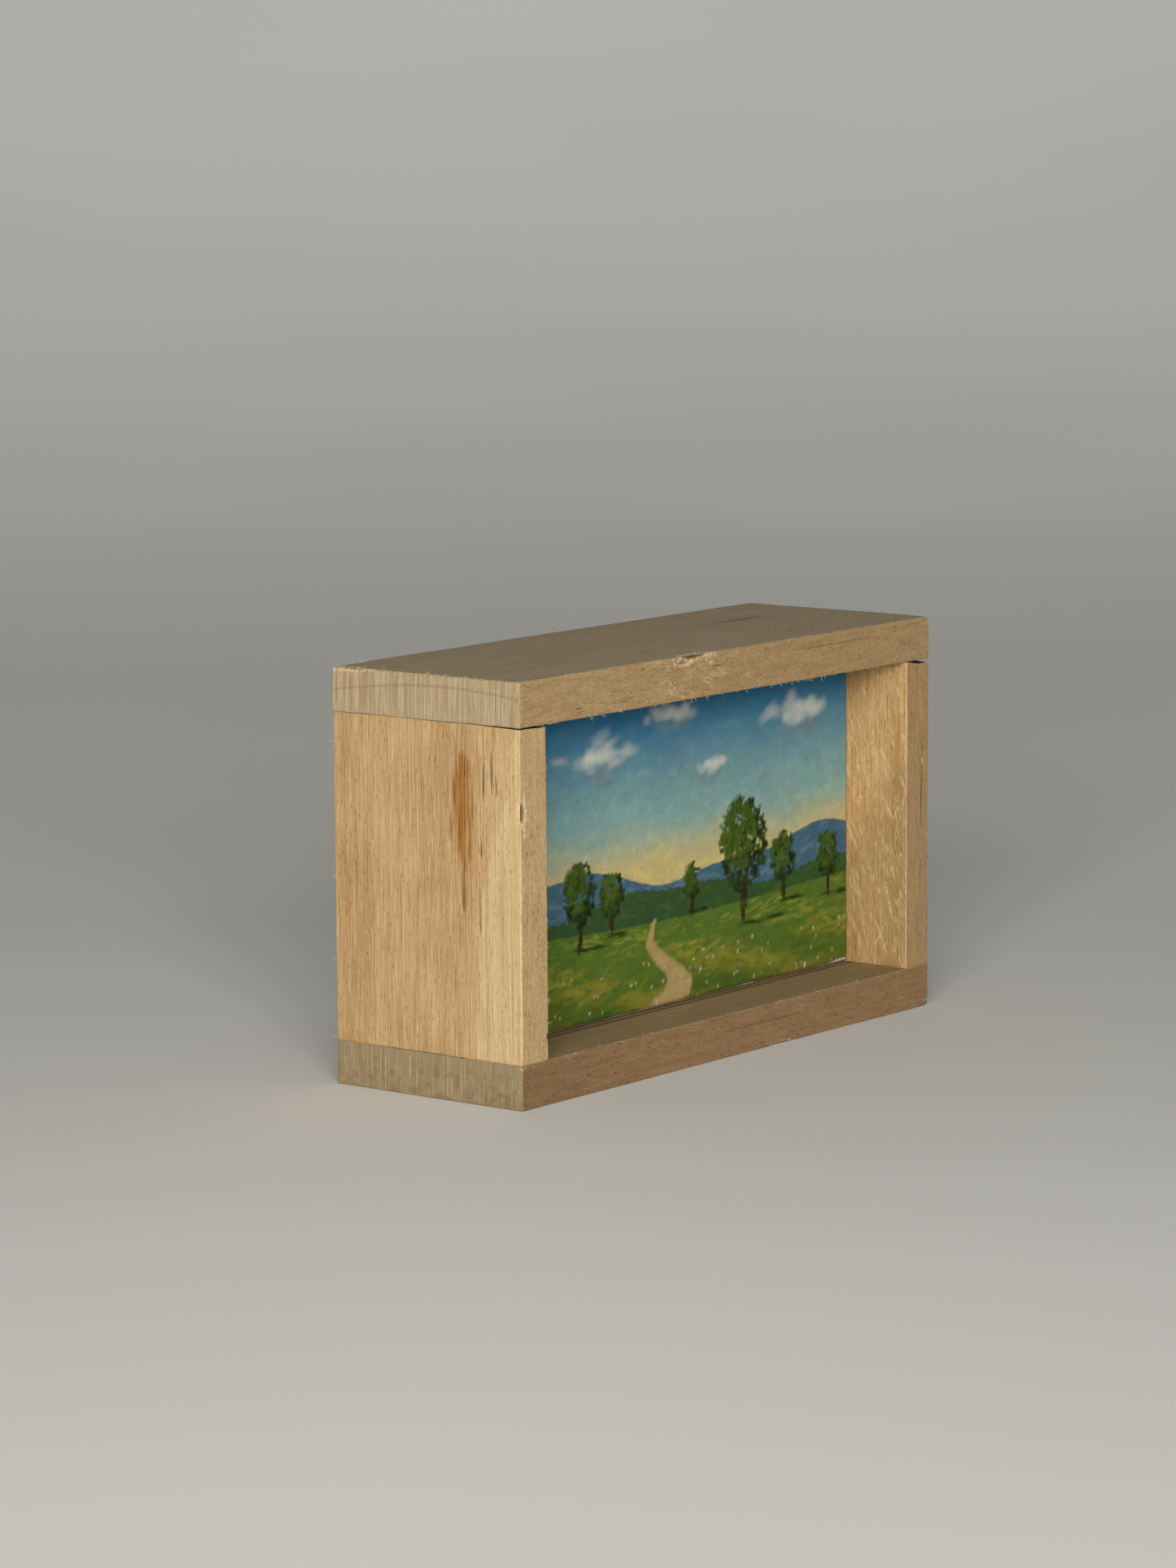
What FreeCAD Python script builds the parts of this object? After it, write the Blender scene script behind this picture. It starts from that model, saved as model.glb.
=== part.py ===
"""Small stretched canvas seated in a deep hand-made wooden box frame.

The box frame is four boards, butt-jointed and glued: the top and bottom boards run the full
width and the two side boards stand between them. Inside it sits a small stretched canvas, which
is four mitred strainer bars held at the corners by V-nails, with painted cotton canvas pulled
over their front, turned round their sides and stapled to their back. Beads of dried glue behind
the canvas hold it in the box. Nothing on it moves.

Frame: millimetres, +Z up, X along the width, the painted face looks along -Y. The origin is the
middle of the footprint, on the surface that the box stands on.
"""

import os

import FreeCAD
import Part

V = FreeCAD.Vector

# ---- box frame ----
BOX_WIDTH = 84.4
BOX_HEIGHT = 50.8
BOX_DEPTH = 28.6
RAIL_THICKNESS = 5.4  # top and bottom boards
SIDE_THICKNESS = 5.0  # left and right boards

# ---- stretched canvas ----
PICTURE_SETBACK = 9.0  # front edge of the boards to the painted face
SEAT_CLEARANCE = 0.15  # gap all round between the canvas and the boards
CANVAS_THICKNESS = 0.45  # cotton with its priming and paint
FLAP_WIDTH = 6.0  # canvas turned over the back of each bar
BAR_WIDTH = 9.0  # across the back of a strainer bar
BAR_DEPTH = 12.0  # front to back
LIP_WIDTH = 1.6  # raised outer edge of a bar, the only part that the stretched face touches
LIP_RELIEF = 0.8  # how far the bar's front falls away from the lip to its inner edge

# ---- wire staples that hold the canvas ----
STAPLE_CROWN = 6.0
STAPLE_LEG = 4.0  # depth in the bar
STAPLE_WIRE = 0.6
STAPLE_INSET = 3.4  # bar's outer edge to the middle of the crown
STAPLES_ALONG_WIDTH = 3
STAPLES_ALONG_HEIGHT = 2
STAPLE_SPACING = 14.0

# ---- V-nails across the mitres of the strainer ----
NAIL_WING = 2.6  # each leg of the V
NAIL_PLATE = 0.4
NAIL_LENGTH = 6.0  # driven depth
NAIL_OPENING = 90.0  # degrees between the legs
NAIL_INSET = 4.2  # bar's outer edges to the point of the V

# ---- glue beads behind the canvas ----
GLUE_LEG = 1.6
GLUE_LENGTH = 11.0
GLUE_BEADS_ALONG_WIDTH = 2
GLUE_SPACING = 34.0

# ---- places that follow from the sizes ----
FRONT_Y = -BOX_DEPTH / 2
MIDDLE_Z = BOX_HEIGHT / 2
OPENING_WIDTH = BOX_WIDTH - 2 * SIDE_THICKNESS
OPENING_HEIGHT = BOX_HEIGHT - 2 * RAIL_THICKNESS
CANVAS_WIDTH = OPENING_WIDTH - 2 * SEAT_CLEARANCE
CANVAS_HEIGHT = OPENING_HEIGHT - 2 * SEAT_CLEARANCE
STRAINER_WIDTH = CANVAS_WIDTH - 2 * CANVAS_THICKNESS
STRAINER_HEIGHT = CANVAS_HEIGHT - 2 * CANVAS_THICKNESS
PICTURE_Y = FRONT_Y + PICTURE_SETBACK
BAR_FRONT_Y = PICTURE_Y + CANVAS_THICKNESS
BAR_BACK_Y = BAR_FRONT_Y + BAR_DEPTH
CANVAS_BACK_Y = BAR_BACK_Y + CANVAS_THICKNESS


def block(width, depth, height, middle_x, front_y, bottom_z):
    """A box centred on middle_x, from front_y backwards and from bottom_z upwards."""
    return Part.makeBox(width, depth, height, V(middle_x - width / 2, front_y, bottom_z))


def around_opening(width, height, shape):
    """Four copies of a shape drawn for the bottom edge of a width by height rectangle, centred
    on the origin of XZ with its outer edge on z = 0, turned to the bottom, right, top and left."""
    turned = []
    for quarter, half in enumerate((height / 2, width / 2, height / 2, width / 2)):
        copy = shape(quarter)
        copy.translate(V(0, 0, -half))
        copy.rotate(V(0, 0, 0), V(0, -1, 0), 90 * quarter)
        copy.translate(V(0, 0, MIDDLE_Z))
        turned.append(copy)
    return turned


def edge_length(quarter, width, height):
    """Length of the bottom, right, top or left edge of a rectangle."""
    return (width, height)[quarter % 2]


def along(count, spacing):
    """Places of evenly spaced pieces, centred on 0."""
    return [(i - (count - 1) / 2) * spacing for i in range(count)]


# ---- the four boards of the box frame ----
def rail(bottom_z):
    """Top or bottom board, the full width of the box."""
    return block(BOX_WIDTH, BOX_DEPTH, RAIL_THICKNESS, 0, FRONT_Y, bottom_z)


def side(hand):
    """Left (-1) or right (+1) board, standing between the top and bottom boards."""
    middle_x = hand * (BOX_WIDTH - SIDE_THICKNESS) / 2
    return block(SIDE_THICKNESS, BOX_DEPTH, OPENING_HEIGHT, middle_x, FRONT_Y, RAIL_THICKNESS)


# ---- the strainer ----
def strainer_bar(quarter):
    """One bar for the bottom edge: a lipped profile run along X, mitred at both ends."""
    length = edge_length(quarter, STRAINER_WIDTH, STRAINER_HEIGHT)
    profile = [
        V(-length / 2, BAR_FRONT_Y, 0),
        V(-length / 2, BAR_FRONT_Y, LIP_WIDTH),
        V(-length / 2, BAR_FRONT_Y + LIP_RELIEF, BAR_WIDTH),
        V(-length / 2, BAR_BACK_Y, BAR_WIDTH),
        V(-length / 2, BAR_BACK_Y, 0),
    ]
    blank = Part.Face(Part.makePolygon(profile + profile[:1])).extrude(V(length, 0, 0))
    half, reach = length / 2, BAR_WIDTH
    mitres = [
        V(-half, FRONT_Y, 0),
        V(half, FRONT_Y, 0),
        V(half - reach, FRONT_Y, reach),
        V(reach - half, FRONT_Y, reach),
    ]
    outline = Part.Face(Part.makePolygon(mitres + mitres[:1])).extrude(V(0, BOX_DEPTH, 0))
    return blank.common(outline)


def v_nail():
    """A bent steel plate driven from behind across the mitre at the bottom left corner. Its point
    looks at the corner, and each wing stands in one bar."""
    point = V(NAIL_INSET - STRAINER_WIDTH / 2, BAR_BACK_Y - NAIL_LENGTH, NAIL_INSET)
    point.z += MIDDLE_Z - STRAINER_HEIGHT / 2
    wings = []
    for sign in (-1, 1):
        wing = Part.makeBox(NAIL_WING, NAIL_LENGTH, NAIL_PLATE, V(0, 0, -NAIL_PLATE / 2))
        wing.rotate(V(0, 0, 0), V(0, -1, 0), 45 + sign * NAIL_OPENING / 2)
        wing.translate(point)
        wings.append(wing)
    return wings[0].fuse(wings[1]).removeSplitter()


def v_nails():
    """The V-nails of all four corners, mirrored from the bottom left one."""
    first = v_nail()
    pair = [first, first.mirror(V(0, 0, 0), V(1, 0, 0))]
    return pair + [nail.mirror(V(0, 0, MIDDLE_Z), V(0, 0, 1)) for nail in pair]


# ---- the canvas and its staples ----
def canvas():
    """The painted sheet: a face, four turned sides and flaps on the back, one wall thick."""
    wrap_depth = BAR_DEPTH + 2 * CANVAS_THICKNESS
    outer = block(
        CANVAS_WIDTH, wrap_depth, CANVAS_HEIGHT, 0, PICTURE_Y, MIDDLE_Z - CANVAS_HEIGHT / 2
    )
    inner = block(
        STRAINER_WIDTH, BAR_DEPTH, STRAINER_HEIGHT, 0, BAR_FRONT_Y, MIDDLE_Z - STRAINER_HEIGHT / 2
    )
    bare_width = STRAINER_WIDTH - 2 * FLAP_WIDTH
    bare_height = STRAINER_HEIGHT - 2 * FLAP_WIDTH
    bare_back = block(
        bare_width, 2 * CANVAS_THICKNESS, bare_height, 0, BAR_BACK_Y, MIDDLE_Z - bare_height / 2
    )
    return outer.cut(inner).cut(bare_back)


def staple(middle_x):
    """A wire staple on the bottom bar: a crown across the flap and two legs driven forwards."""
    wire = STAPLE_WIRE
    back_y = CANVAS_BACK_Y + wire
    crown = Part.makeBox(
        STAPLE_CROWN, wire, wire, V(middle_x - STAPLE_CROWN / 2, CANVAS_BACK_Y, STAPLE_INSET - wire / 2)
    )
    depth = back_y - (BAR_BACK_Y - STAPLE_LEG)
    legs = [
        Part.makeBox(wire, depth, wire, V(x, back_y - depth, STAPLE_INSET - wire / 2))
        for x in (middle_x - STAPLE_CROWN / 2, middle_x + STAPLE_CROWN / 2 - wire)
    ]
    return crown.fuse(legs).removeSplitter()


def staple_row(quarter):
    """The staples along one bar."""
    count = (STAPLES_ALONG_WIDTH, STAPLES_ALONG_HEIGHT)[quarter % 2]
    return Part.makeCompound([staple(x) for x in along(count, STAPLE_SPACING)])


# ---- the glue ----
def glue_row(quarter):
    """Three-cornered beads in the corner between a board and the back of the canvas."""
    wall_z = -SEAT_CLEARANCE
    leg = GLUE_LEG + SEAT_CLEARANCE
    corner = [
        V(0, CANVAS_BACK_Y, wall_z),
        V(0, CANVAS_BACK_Y, wall_z + leg),
        V(0, CANVAS_BACK_Y + leg, wall_z),
    ]
    face = Part.Face(Part.makePolygon(corner + corner[:1]))
    count = (GLUE_BEADS_ALONG_WIDTH, 1)[quarter % 2]
    beads = []
    for x in along(count, GLUE_SPACING):
        bead = face.extrude(V(GLUE_LENGTH, 0, 0))
        bead.translate(V(x - GLUE_LENGTH / 2, 0, 0))
        beads.append(bead)
    return Part.makeCompound(beads)


def build():
    """Every node's name and its shape."""
    bars = around_opening(STRAINER_WIDTH, STRAINER_HEIGHT, strainer_bar)
    staples = around_opening(STRAINER_WIDTH, STRAINER_HEIGHT, staple_row)
    staples = [solid for row in staples for solid in row.Solids]
    glue = around_opening(CANVAS_WIDTH, CANVAS_HEIGHT, glue_row)
    nails = v_nails()
    driven = Part.makeCompound(staples + nails)
    bars = [bar.cut(driven) for bar in bars]
    nodes = {
        "top_board": rail(BOX_HEIGHT - RAIL_THICKNESS),
        "bottom_board": rail(0),
        "left_board": side(-1),
        "right_board": side(1),
        "painted_canvas": canvas().cut(Part.makeCompound(staples)),
        "canvas_staples": Part.makeCompound(staples),
        "corner_v_nails": Part.makeCompound(nails),
        "glue_beads": Part.makeCompound([bead for row in glue for bead in row.Solids]),
    }
    for place, bar in zip(("bottom", "right", "top", "left"), bars):
        nodes[f"strainer_{place}_bar"] = bar
    return nodes


def main():
    os.makedirs("parts", exist_ok=True)
    for name, shape in build().items():
        if not shape.isValid():
            raise ValueError(f"{name} is not a valid shape")
        shape.exportStep(f"parts/{name}.step")
        print(f"{name}: {len(shape.Solids)} solids, {shape.Volume:.1f} mm3")


main()
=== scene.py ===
"""Looks for a small painted canvas that sits in a deep hand-made wooden box frame.

It is laid out as an add-on and run as a script: it registers its classes and makes every piece with
its operators, each in the place of its plain CAD solid.
Lengths are in metres. X runs along the width, Y from the front to the back and Z upwards.
"""

import math
from dataclasses import dataclass

import bpy
import numpy as np
from mathutils import Matrix, Vector


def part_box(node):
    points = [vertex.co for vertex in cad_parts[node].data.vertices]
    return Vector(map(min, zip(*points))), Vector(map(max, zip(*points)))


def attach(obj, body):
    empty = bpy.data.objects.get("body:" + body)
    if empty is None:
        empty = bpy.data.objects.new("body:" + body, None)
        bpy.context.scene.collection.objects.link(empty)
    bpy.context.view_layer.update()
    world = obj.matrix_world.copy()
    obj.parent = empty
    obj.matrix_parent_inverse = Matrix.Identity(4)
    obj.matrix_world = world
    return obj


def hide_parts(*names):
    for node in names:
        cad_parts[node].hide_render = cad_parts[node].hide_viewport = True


bl_info = {
    "name": "Miniature canvas in a box frame",
    "version": (1, 0, 0),
    "blender": (4, 5, 0),
    "location": "3D View > Sidebar > Box frame",
    "description": "Makes the boards, strainer, canvas, painting and fastenings of a small boxed canvas",
    "category": "Object",
}

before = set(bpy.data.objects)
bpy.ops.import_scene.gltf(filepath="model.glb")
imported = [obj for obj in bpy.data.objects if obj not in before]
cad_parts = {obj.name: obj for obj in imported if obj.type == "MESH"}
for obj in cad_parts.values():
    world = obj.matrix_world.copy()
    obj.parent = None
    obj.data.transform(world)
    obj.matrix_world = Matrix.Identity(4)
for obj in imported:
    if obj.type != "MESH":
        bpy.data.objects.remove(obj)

MM = 0.001
SAME_PLACE = 0.001 * MM  # points nearer than this are one point
BELOW_GROUND = 0.02 * MM  # keeps the floor just under the box frame
LIP_WIDTH, LIP_RELIEF = 1.6 * MM, 0.8 * MM  # raised outer edge of a strainer bar
BAR_ROUGHNESS = 0.02 * MM  # planing marks on the bars
CLOTH_COLUMNS, CLOTH_ROWS = 149, 81  # grid on the cloth's face
PAINT_INSET = 0.16 * MM  # from the cloth's outline to the paint's
PAINT_LAP = 0.9 * MM  # how far the paint's back is sunk inside its outline
STAPLE_BEND = 0.7 * MM
STAPLE_SWING = 0.14  # largest turn of a staple off its line, in radians
FLOOR_END = 4.2
LAMP_TINT = (1.0, 0.975, 0.93)
FRAME_MIDDLE = (0, 0, 0.025)  # where the main lamps look


# -------- Settings --------
def linear(code):
    """A colour written as #rrggbb, as the linear triple that the shaders use."""
    parts = np.array([int(code[i : i + 2], 16) / 255 for i in (1, 3, 5)])
    return tuple(np.where(parts <= 0.04045, parts / 12.92, ((parts + 0.055) / 1.055) ** 2.4))


def length(name, description, millimetres):
    """A length property with its default in millimetres."""
    return bpy.props.FloatProperty(
        name=name, description=description, default=millimetres * MM, min=0, unit="LENGTH", precision=5
    )


def colour(name, description, code):
    """A colour property with its default written as #rrggbb."""
    return bpy.props.FloatVectorProperty(
        name=name, description=description, default=linear(code), min=0, max=1, size=3, subtype="COLOR"
    )


def number(name, description, value, unit="NONE"):
    """A positive number property."""
    return bpy.props.FloatProperty(name=name, description=description, default=value, min=0, unit=unit)


def angle(name, description, degrees):
    """An angle property with its default in degrees."""
    return bpy.props.FloatProperty(
        name=name, description=description, default=math.radians(degrees), subtype="ANGLE"
    )


class BoardSettings(bpy.types.PropertyGroup):
    """Wood of the four boards."""

    edge_radius: length("Edge radius", "How far sanding has rounded the boards' edges", 0.16)
    fibre_relief: length("Fibre relief", "Height of the raised fibres on planed faces", 0.014)
    saw_relief: length("Saw relief", "Height of the rough grain on sawn edges", 0.022)
    joint_gap: length("Joint gap", "Widest opening of the butt joints under the top board", 0.24)
    heartwood: colour("Heartwood", "Main colour of the boards", "#c6a171")
    sapwood: colour("Sapwood", "Pale strip along one board's front edge", "#dcc190")
    late_wood: colour("Late wood", "Darker lines between the growth rings", "#a27c4b")
    end_grain: colour("End grain", "Greyish cut ends of the top and bottom boards", "#b3a282")
    sawn_edge: colour("Sawn edge", "Rough front and back edges of the boards", "#b89a70")
    sawn_streak: colour("Sawn streak", "Darker lines along the sawn edges", "#a5855c")
    # Partly greyed wood, partly painted shade and a painted cool reflection of the sky.
    weathered_and_shade: colour("Weathered", "Greyish upper face of the top board", "#a49a80")
    knot: colour("Knot", "Resin-brown streak in the left board", "#7c4711")
    # Also used for painted shade: in the open joints, under the canvas, in the chips and on the boards'
    # darkened parts.
    crevice_and_shade: colour("Crevice", "Cracks, pores and pits", "#3c2615")
    # Also used for the painted highlight along the side boards' rounded edges.
    fibre_and_highlight: colour("Fibre", "Pale raised fibres and scuffs", "#ecd8b0")
    resin: colour("Resin", "Light fibres inside the knot", "#b4813a")


class PaintingSettings(bpy.types.PropertyGroup):
    """Paint on the canvas."""

    film: length("Paint film", "Thickness of the thinnest paint", 0.05)
    relief: length("Brush relief", "Height of the thickest brush marks over the film", 0.11)
    sky_blue: colour("Sky blue", "Sky overhead", "#2f6f98")
    sky_pale: colour("Sky pale", "Sky halfway down", "#86a9a4")
    horizon: colour("Horizon", "Warm light low in the sky", "#cdb878")
    cloud: colour("Cloud", "Lit side of the clouds", "#c9cdc6")
    cloud_shade: colour("Cloud shade", "Underside of the clouds", "#74868f")
    far_hill: colour("Far hill", "Hazy hills far away", "#45667a")
    near_hill: colour("Near hill", "Wooded hills behind the meadow", "#37532f")
    meadow: colour("Meadow", "Grass", "#56702a")
    meadow_light: colour("Meadow light", "Sunlit and dry grass", "#9c9636")
    path: colour("Path", "Sandy path through the meadow", "#b39a68")
    leaf_dark: colour("Leaf dark", "Shaded leaves", "#15220c")
    leaf_light: colour("Leaf light", "Sunlit leaves", "#4c6620")
    bark: colour("Bark", "Trunks", "#35261a")


class CanvasSettings(bpy.types.PropertyGroup):
    """Cotton of the canvas."""

    cloth: length("Cloth thickness", "Cotton with its priming", 0.34)
    rim_radius: length("Rim radius", "How tightly the cloth turns round the strainer", 0.8)
    corner_radius: length("Corner radius", "Roundness of the folded corners", 0.7)
    flap: length("Flap", "Width of the cloth that is stapled to the strainer's back", 6.0)
    thread: length("Thread pitch", "Distance between two threads of the cotton", 0.42)
    priming: colour("Priming", "White ground on the outside of the cloth", "#e8e3d4")
    raw_cotton: colour("Raw cotton", "Bare inside of the cloth", "#d9c7a0")


class StrainerSettings(bpy.types.PropertyGroup):
    """Wood of the strainer bars."""

    edge_radius: length("Edge radius", "Rounding of the bars' edges", 0.35)
    mitre_gap: length("Mitre gap", "Opening of the mitred corners", 0.05)
    pine: colour("Pine", "Main colour of the bars", "#d8b987")
    pine_ring: colour("Pine rings", "Darker growth rings of the bars", "#b98a4e")


class FasteningSettings(bpy.types.PropertyGroup):
    """Staples, V-nails and glue."""

    wire_radius: length("Staple wire radius", "Half the thickness of the staple wire", 0.3)
    steel: colour("Steel", "Galvanised staple wire", "#a9aaa8")
    nail_steel: colour("Nail steel", "Bare spring steel of the V-nails", "#7c7d80")
    glue: colour("Glue", "Dried glue", "#cdb582")


class StageSettings(bpy.types.PropertyGroup):
    """Camera, light and floor."""

    lens: number("Lens", "Focal length on a 36 mm frame", 119.0, "CAMERA")
    camera_place: bpy.props.FloatVectorProperty(
        name="Camera place", description="Where the camera stands", subtype="TRANSLATION",
        default=(-0.5079, -0.3882, 0.1251),
    )
    camera_yaw: angle("Camera yaw", "Turn to the right of straight ahead", 52.0)
    camera_pitch: angle("Camera pitch", "Tilt above the horizon", -8.215)
    camera_roll: angle("Camera roll", "Tilt to the side", -0.36)
    floor: colour("Floor", "Plain pale floor", "#e9e8e3")
    sky: colour("Surroundings", "Light from all round", "#c3c6c6")
    sky_strength: number("Surroundings strength", "Strength of the light from all round", 0.26)
    key_power: number("Window power", "Large soft light at the left", 118, "POWER")
    near_power: number("Near screen power", "Small soft light by the camera", 1.35, "POWER")
    backdrop_power: number("Backdrop power", "Light on the far floor", 2.0, "POWER")
    front_power: number("Foreground power", "Light on the near floor", 0.06, "POWER")
    flat_reach: length("Flat reach", "Radius of the flat middle of the floor", 550)
    rim_reach: length("Rim reach", "Radius at which the floor has risen in full", 2100)
    rim_height: length("Rim height", "How far the floor rises", 300)


SETTINGS = {
    "boxed_boards": BoardSettings,
    "boxed_painting": PaintingSettings,
    "boxed_canvas": CanvasSettings,
    "boxed_strainer": StrainerSettings,
    "boxed_fastenings": FasteningSettings,
    "boxed_stage": StageSettings,
}


# -------- Numbers that look like wood, cloth and paint --------
def smooth_noise(points, seed):
    """Value noise in -1..1 for an array of points (..., 3). Every whole-number corner of space has
    a random value; inside a cell they are blended with 6t^5 - 15t^4 + 10t^3 along each axis."""
    points = np.asarray(points, float)
    cell = np.floor(points)
    t = points - cell
    t = t**3 * (t * (t * 6 - 15) + 10)
    cell = cell.astype(np.int64)
    total = np.zeros(points.shape[:-1])
    for corner in np.ndindex(2, 2, 2):
        place = cell + np.array(corner)
        mixed = place[..., 0] * 73856093 ^ place[..., 1] * 19349663 ^ place[..., 2] * 83492791
        mixed = (mixed ^ (seed * 2654435761)) & 0xFFFFFFFF
        mixed = ((mixed ^ (mixed >> 15)) * 2246822519) & 0xFFFFFFFF
        mixed = ((mixed ^ (mixed >> 13)) * 3266489917) & 0xFFFFFFFF
        value = ((mixed ^ (mixed >> 16)) & 0xFFFF) / 32767.5 - 1
        total += value * np.prod(np.where(corner, t, 1 - t), axis=-1)
    return total


def rough_noise(points, seed, octaves=3):
    """Sum of smooth noise at doubled frequencies and halved heights, in about -1..1."""
    total = sum(smooth_noise(points * 2**k, seed + 17 * k) / 2**k for k in range(octaves))
    return total / (2 - 2 ** (1 - octaves))


def flat_noise(a, b, seed, kind=smooth_noise, **settings):
    """Noise over two coordinates only."""
    return kind(np.stack([a, b, np.zeros_like(a)], -1), seed, **settings)


def ease(value, low, high):
    """0 at low, 1 at high and 3t^2 - 2t^3 between them, whichever of the two is the larger."""
    t = np.clip((value - low) / (high - low), 0, 1)
    return t * t * (3 - 2 * t)


def rounded_lines(low, high, radius, step):
    """Grid lines from low to high. Within a radius of each end they stand at r tan(0..45 degrees),
    which a rounding turns into equal angles; between those they are a step apart."""
    turn = radius * np.tan(np.linspace(math.pi / 4, 0, 5)[:-1])
    count = max(2, round((high - low - 2 * radius) / step) + 1)
    middle = np.linspace(low + radius, high - radius, count)
    return np.concatenate([low + radius - turn, middle, high - radius + turn[::-1]])


def rounded_corner(before, corner, after, reach, t):
    """The quadratic curve with the corner as its handle, from a reach towards the corner before to
    a reach towards the corner after, at the shares t (a column)."""
    start = corner + (before - corner) / np.linalg.norm(before - corner) * reach
    end = corner + (after - corner) / np.linalg.norm(after - corner) * reach
    return (1 - t) ** 2 * start + 2 * t * (1 - t) * corner + t**2 * end


def tube_faces(rings, sides):
    """Walls and both ends of a tube of rings of points, as its points go round it the same way."""
    first = np.arange(sides)[None]
    return [grid_faces(rings, sides, wrap_columns=True), first, first[:, ::-1] + (rings - 1) * sides]


def weld(points, faces):
    """Joins points that coincide."""
    _, first, where = np.unique(
        np.round(points / SAME_PLACE).astype(np.int64), axis=0, return_index=True, return_inverse=True
    )
    return points[first], [where.ravel()[f] for f in faces]


def grid_faces(rows, columns, wrap_rows=False, wrap_columns=False):
    """Quads of a grid of rows by columns points, closed on itself where it wraps."""
    index = np.arange(rows * columns).reshape(rows, columns)
    if wrap_rows:
        index = np.vstack([index, index[:1]])
    if wrap_columns:
        index = np.hstack([index, index[:, :1]])
    corners = [index[:-1, :-1], index[1:, :-1], index[1:, 1:], index[:-1, 1:]]
    return np.stack([c.ravel() for c in corners], axis=1)


def rounded_block(low, high, radius, steps):
    """A block with rounded edges, as points, outward normals and quads.

    Each of the six sides is a grid. A point p of the sharp block has its nearest point q in the
    block shrunk by the radius, its normal is n = (p - q) / |p - q|, and it moves to q + radius n.
    """
    low, high = np.array(low, float), np.array(high, float)
    lines = [rounded_lines(low[i], high[i], radius, steps[i]) for i in range(3)]
    points, faces, count = [], [], 0
    for axis in range(3):
        u, v = (axis + 1) % 3, (axis + 2) % 3
        for end in (0, 1):
            side = np.empty((len(lines[u]), len(lines[v]), 3))
            side[..., u] = lines[u][:, None]
            side[..., v] = lines[v][None, :]
            side[..., axis] = (low, high)[end][axis]
            quads = grid_faces(*side.shape[:2]) + count
            faces.append(quads if end else quads[:, ::-1])
            points.append(side.reshape(-1, 3))
            count += len(points[-1])
    points, faces = weld(np.concatenate(points), faces)
    inner = np.clip(points, low + radius, high - radius)
    normals = points - inner
    normals /= np.linalg.norm(normals, axis=1, keepdims=True)
    return inner + radius * normals, normals, faces


def make_piece(name, points, faces, material, attributes=None, replaces=()):
    """Puts arrays into a smooth-shaded mesh object that rides on the frame's one body.

    faces is a list of arrays, each of faces with the same number of corners. attributes holds one
    number or one colour for each point."""
    mesh = bpy.data.meshes.new(name)
    corners = np.concatenate([f.ravel() for f in faces])
    sizes = np.concatenate([np.full(len(f), f.shape[1]) for f in faces])
    mesh.vertices.add(len(points))
    mesh.vertices.foreach_set("co", np.asarray(points, np.float32).ravel())
    mesh.loops.add(len(corners))
    mesh.loops.foreach_set("vertex_index", corners.astype(np.int32))
    mesh.polygons.add(len(sizes))
    mesh.polygons.foreach_set("loop_start", (np.cumsum(sizes) - sizes).astype(np.int32))
    mesh.polygons.foreach_set("use_smooth", np.ones(len(sizes), bool))
    for key, values in (attributes or {}).items():
        if values.ndim == 1:
            mesh.attributes.new(key, "FLOAT", "POINT").data.foreach_set("value", values.astype(np.float32))
        else:
            with_alpha = np.column_stack([values, np.ones(len(values))]).astype(np.float32)
            mesh.attributes.new(key, "FLOAT_COLOR", "POINT").data.foreach_set("color", with_alpha.ravel())
    mesh.update(calc_edges=True)
    if mesh.validate():
        raise ValueError(f"{name} had faces that had to be repaired")
    piece = bpy.data.objects.new(name, mesh)
    bpy.context.scene.collection.objects.link(piece)
    mesh.materials.append(material)
    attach(piece, "root")
    if replaces:
        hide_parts(*replaces)
    return piece


def node_box(node):
    """Low and high corner of a CAD node as arrays."""
    low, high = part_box(node)
    return np.array(low), np.array(high)


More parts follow.
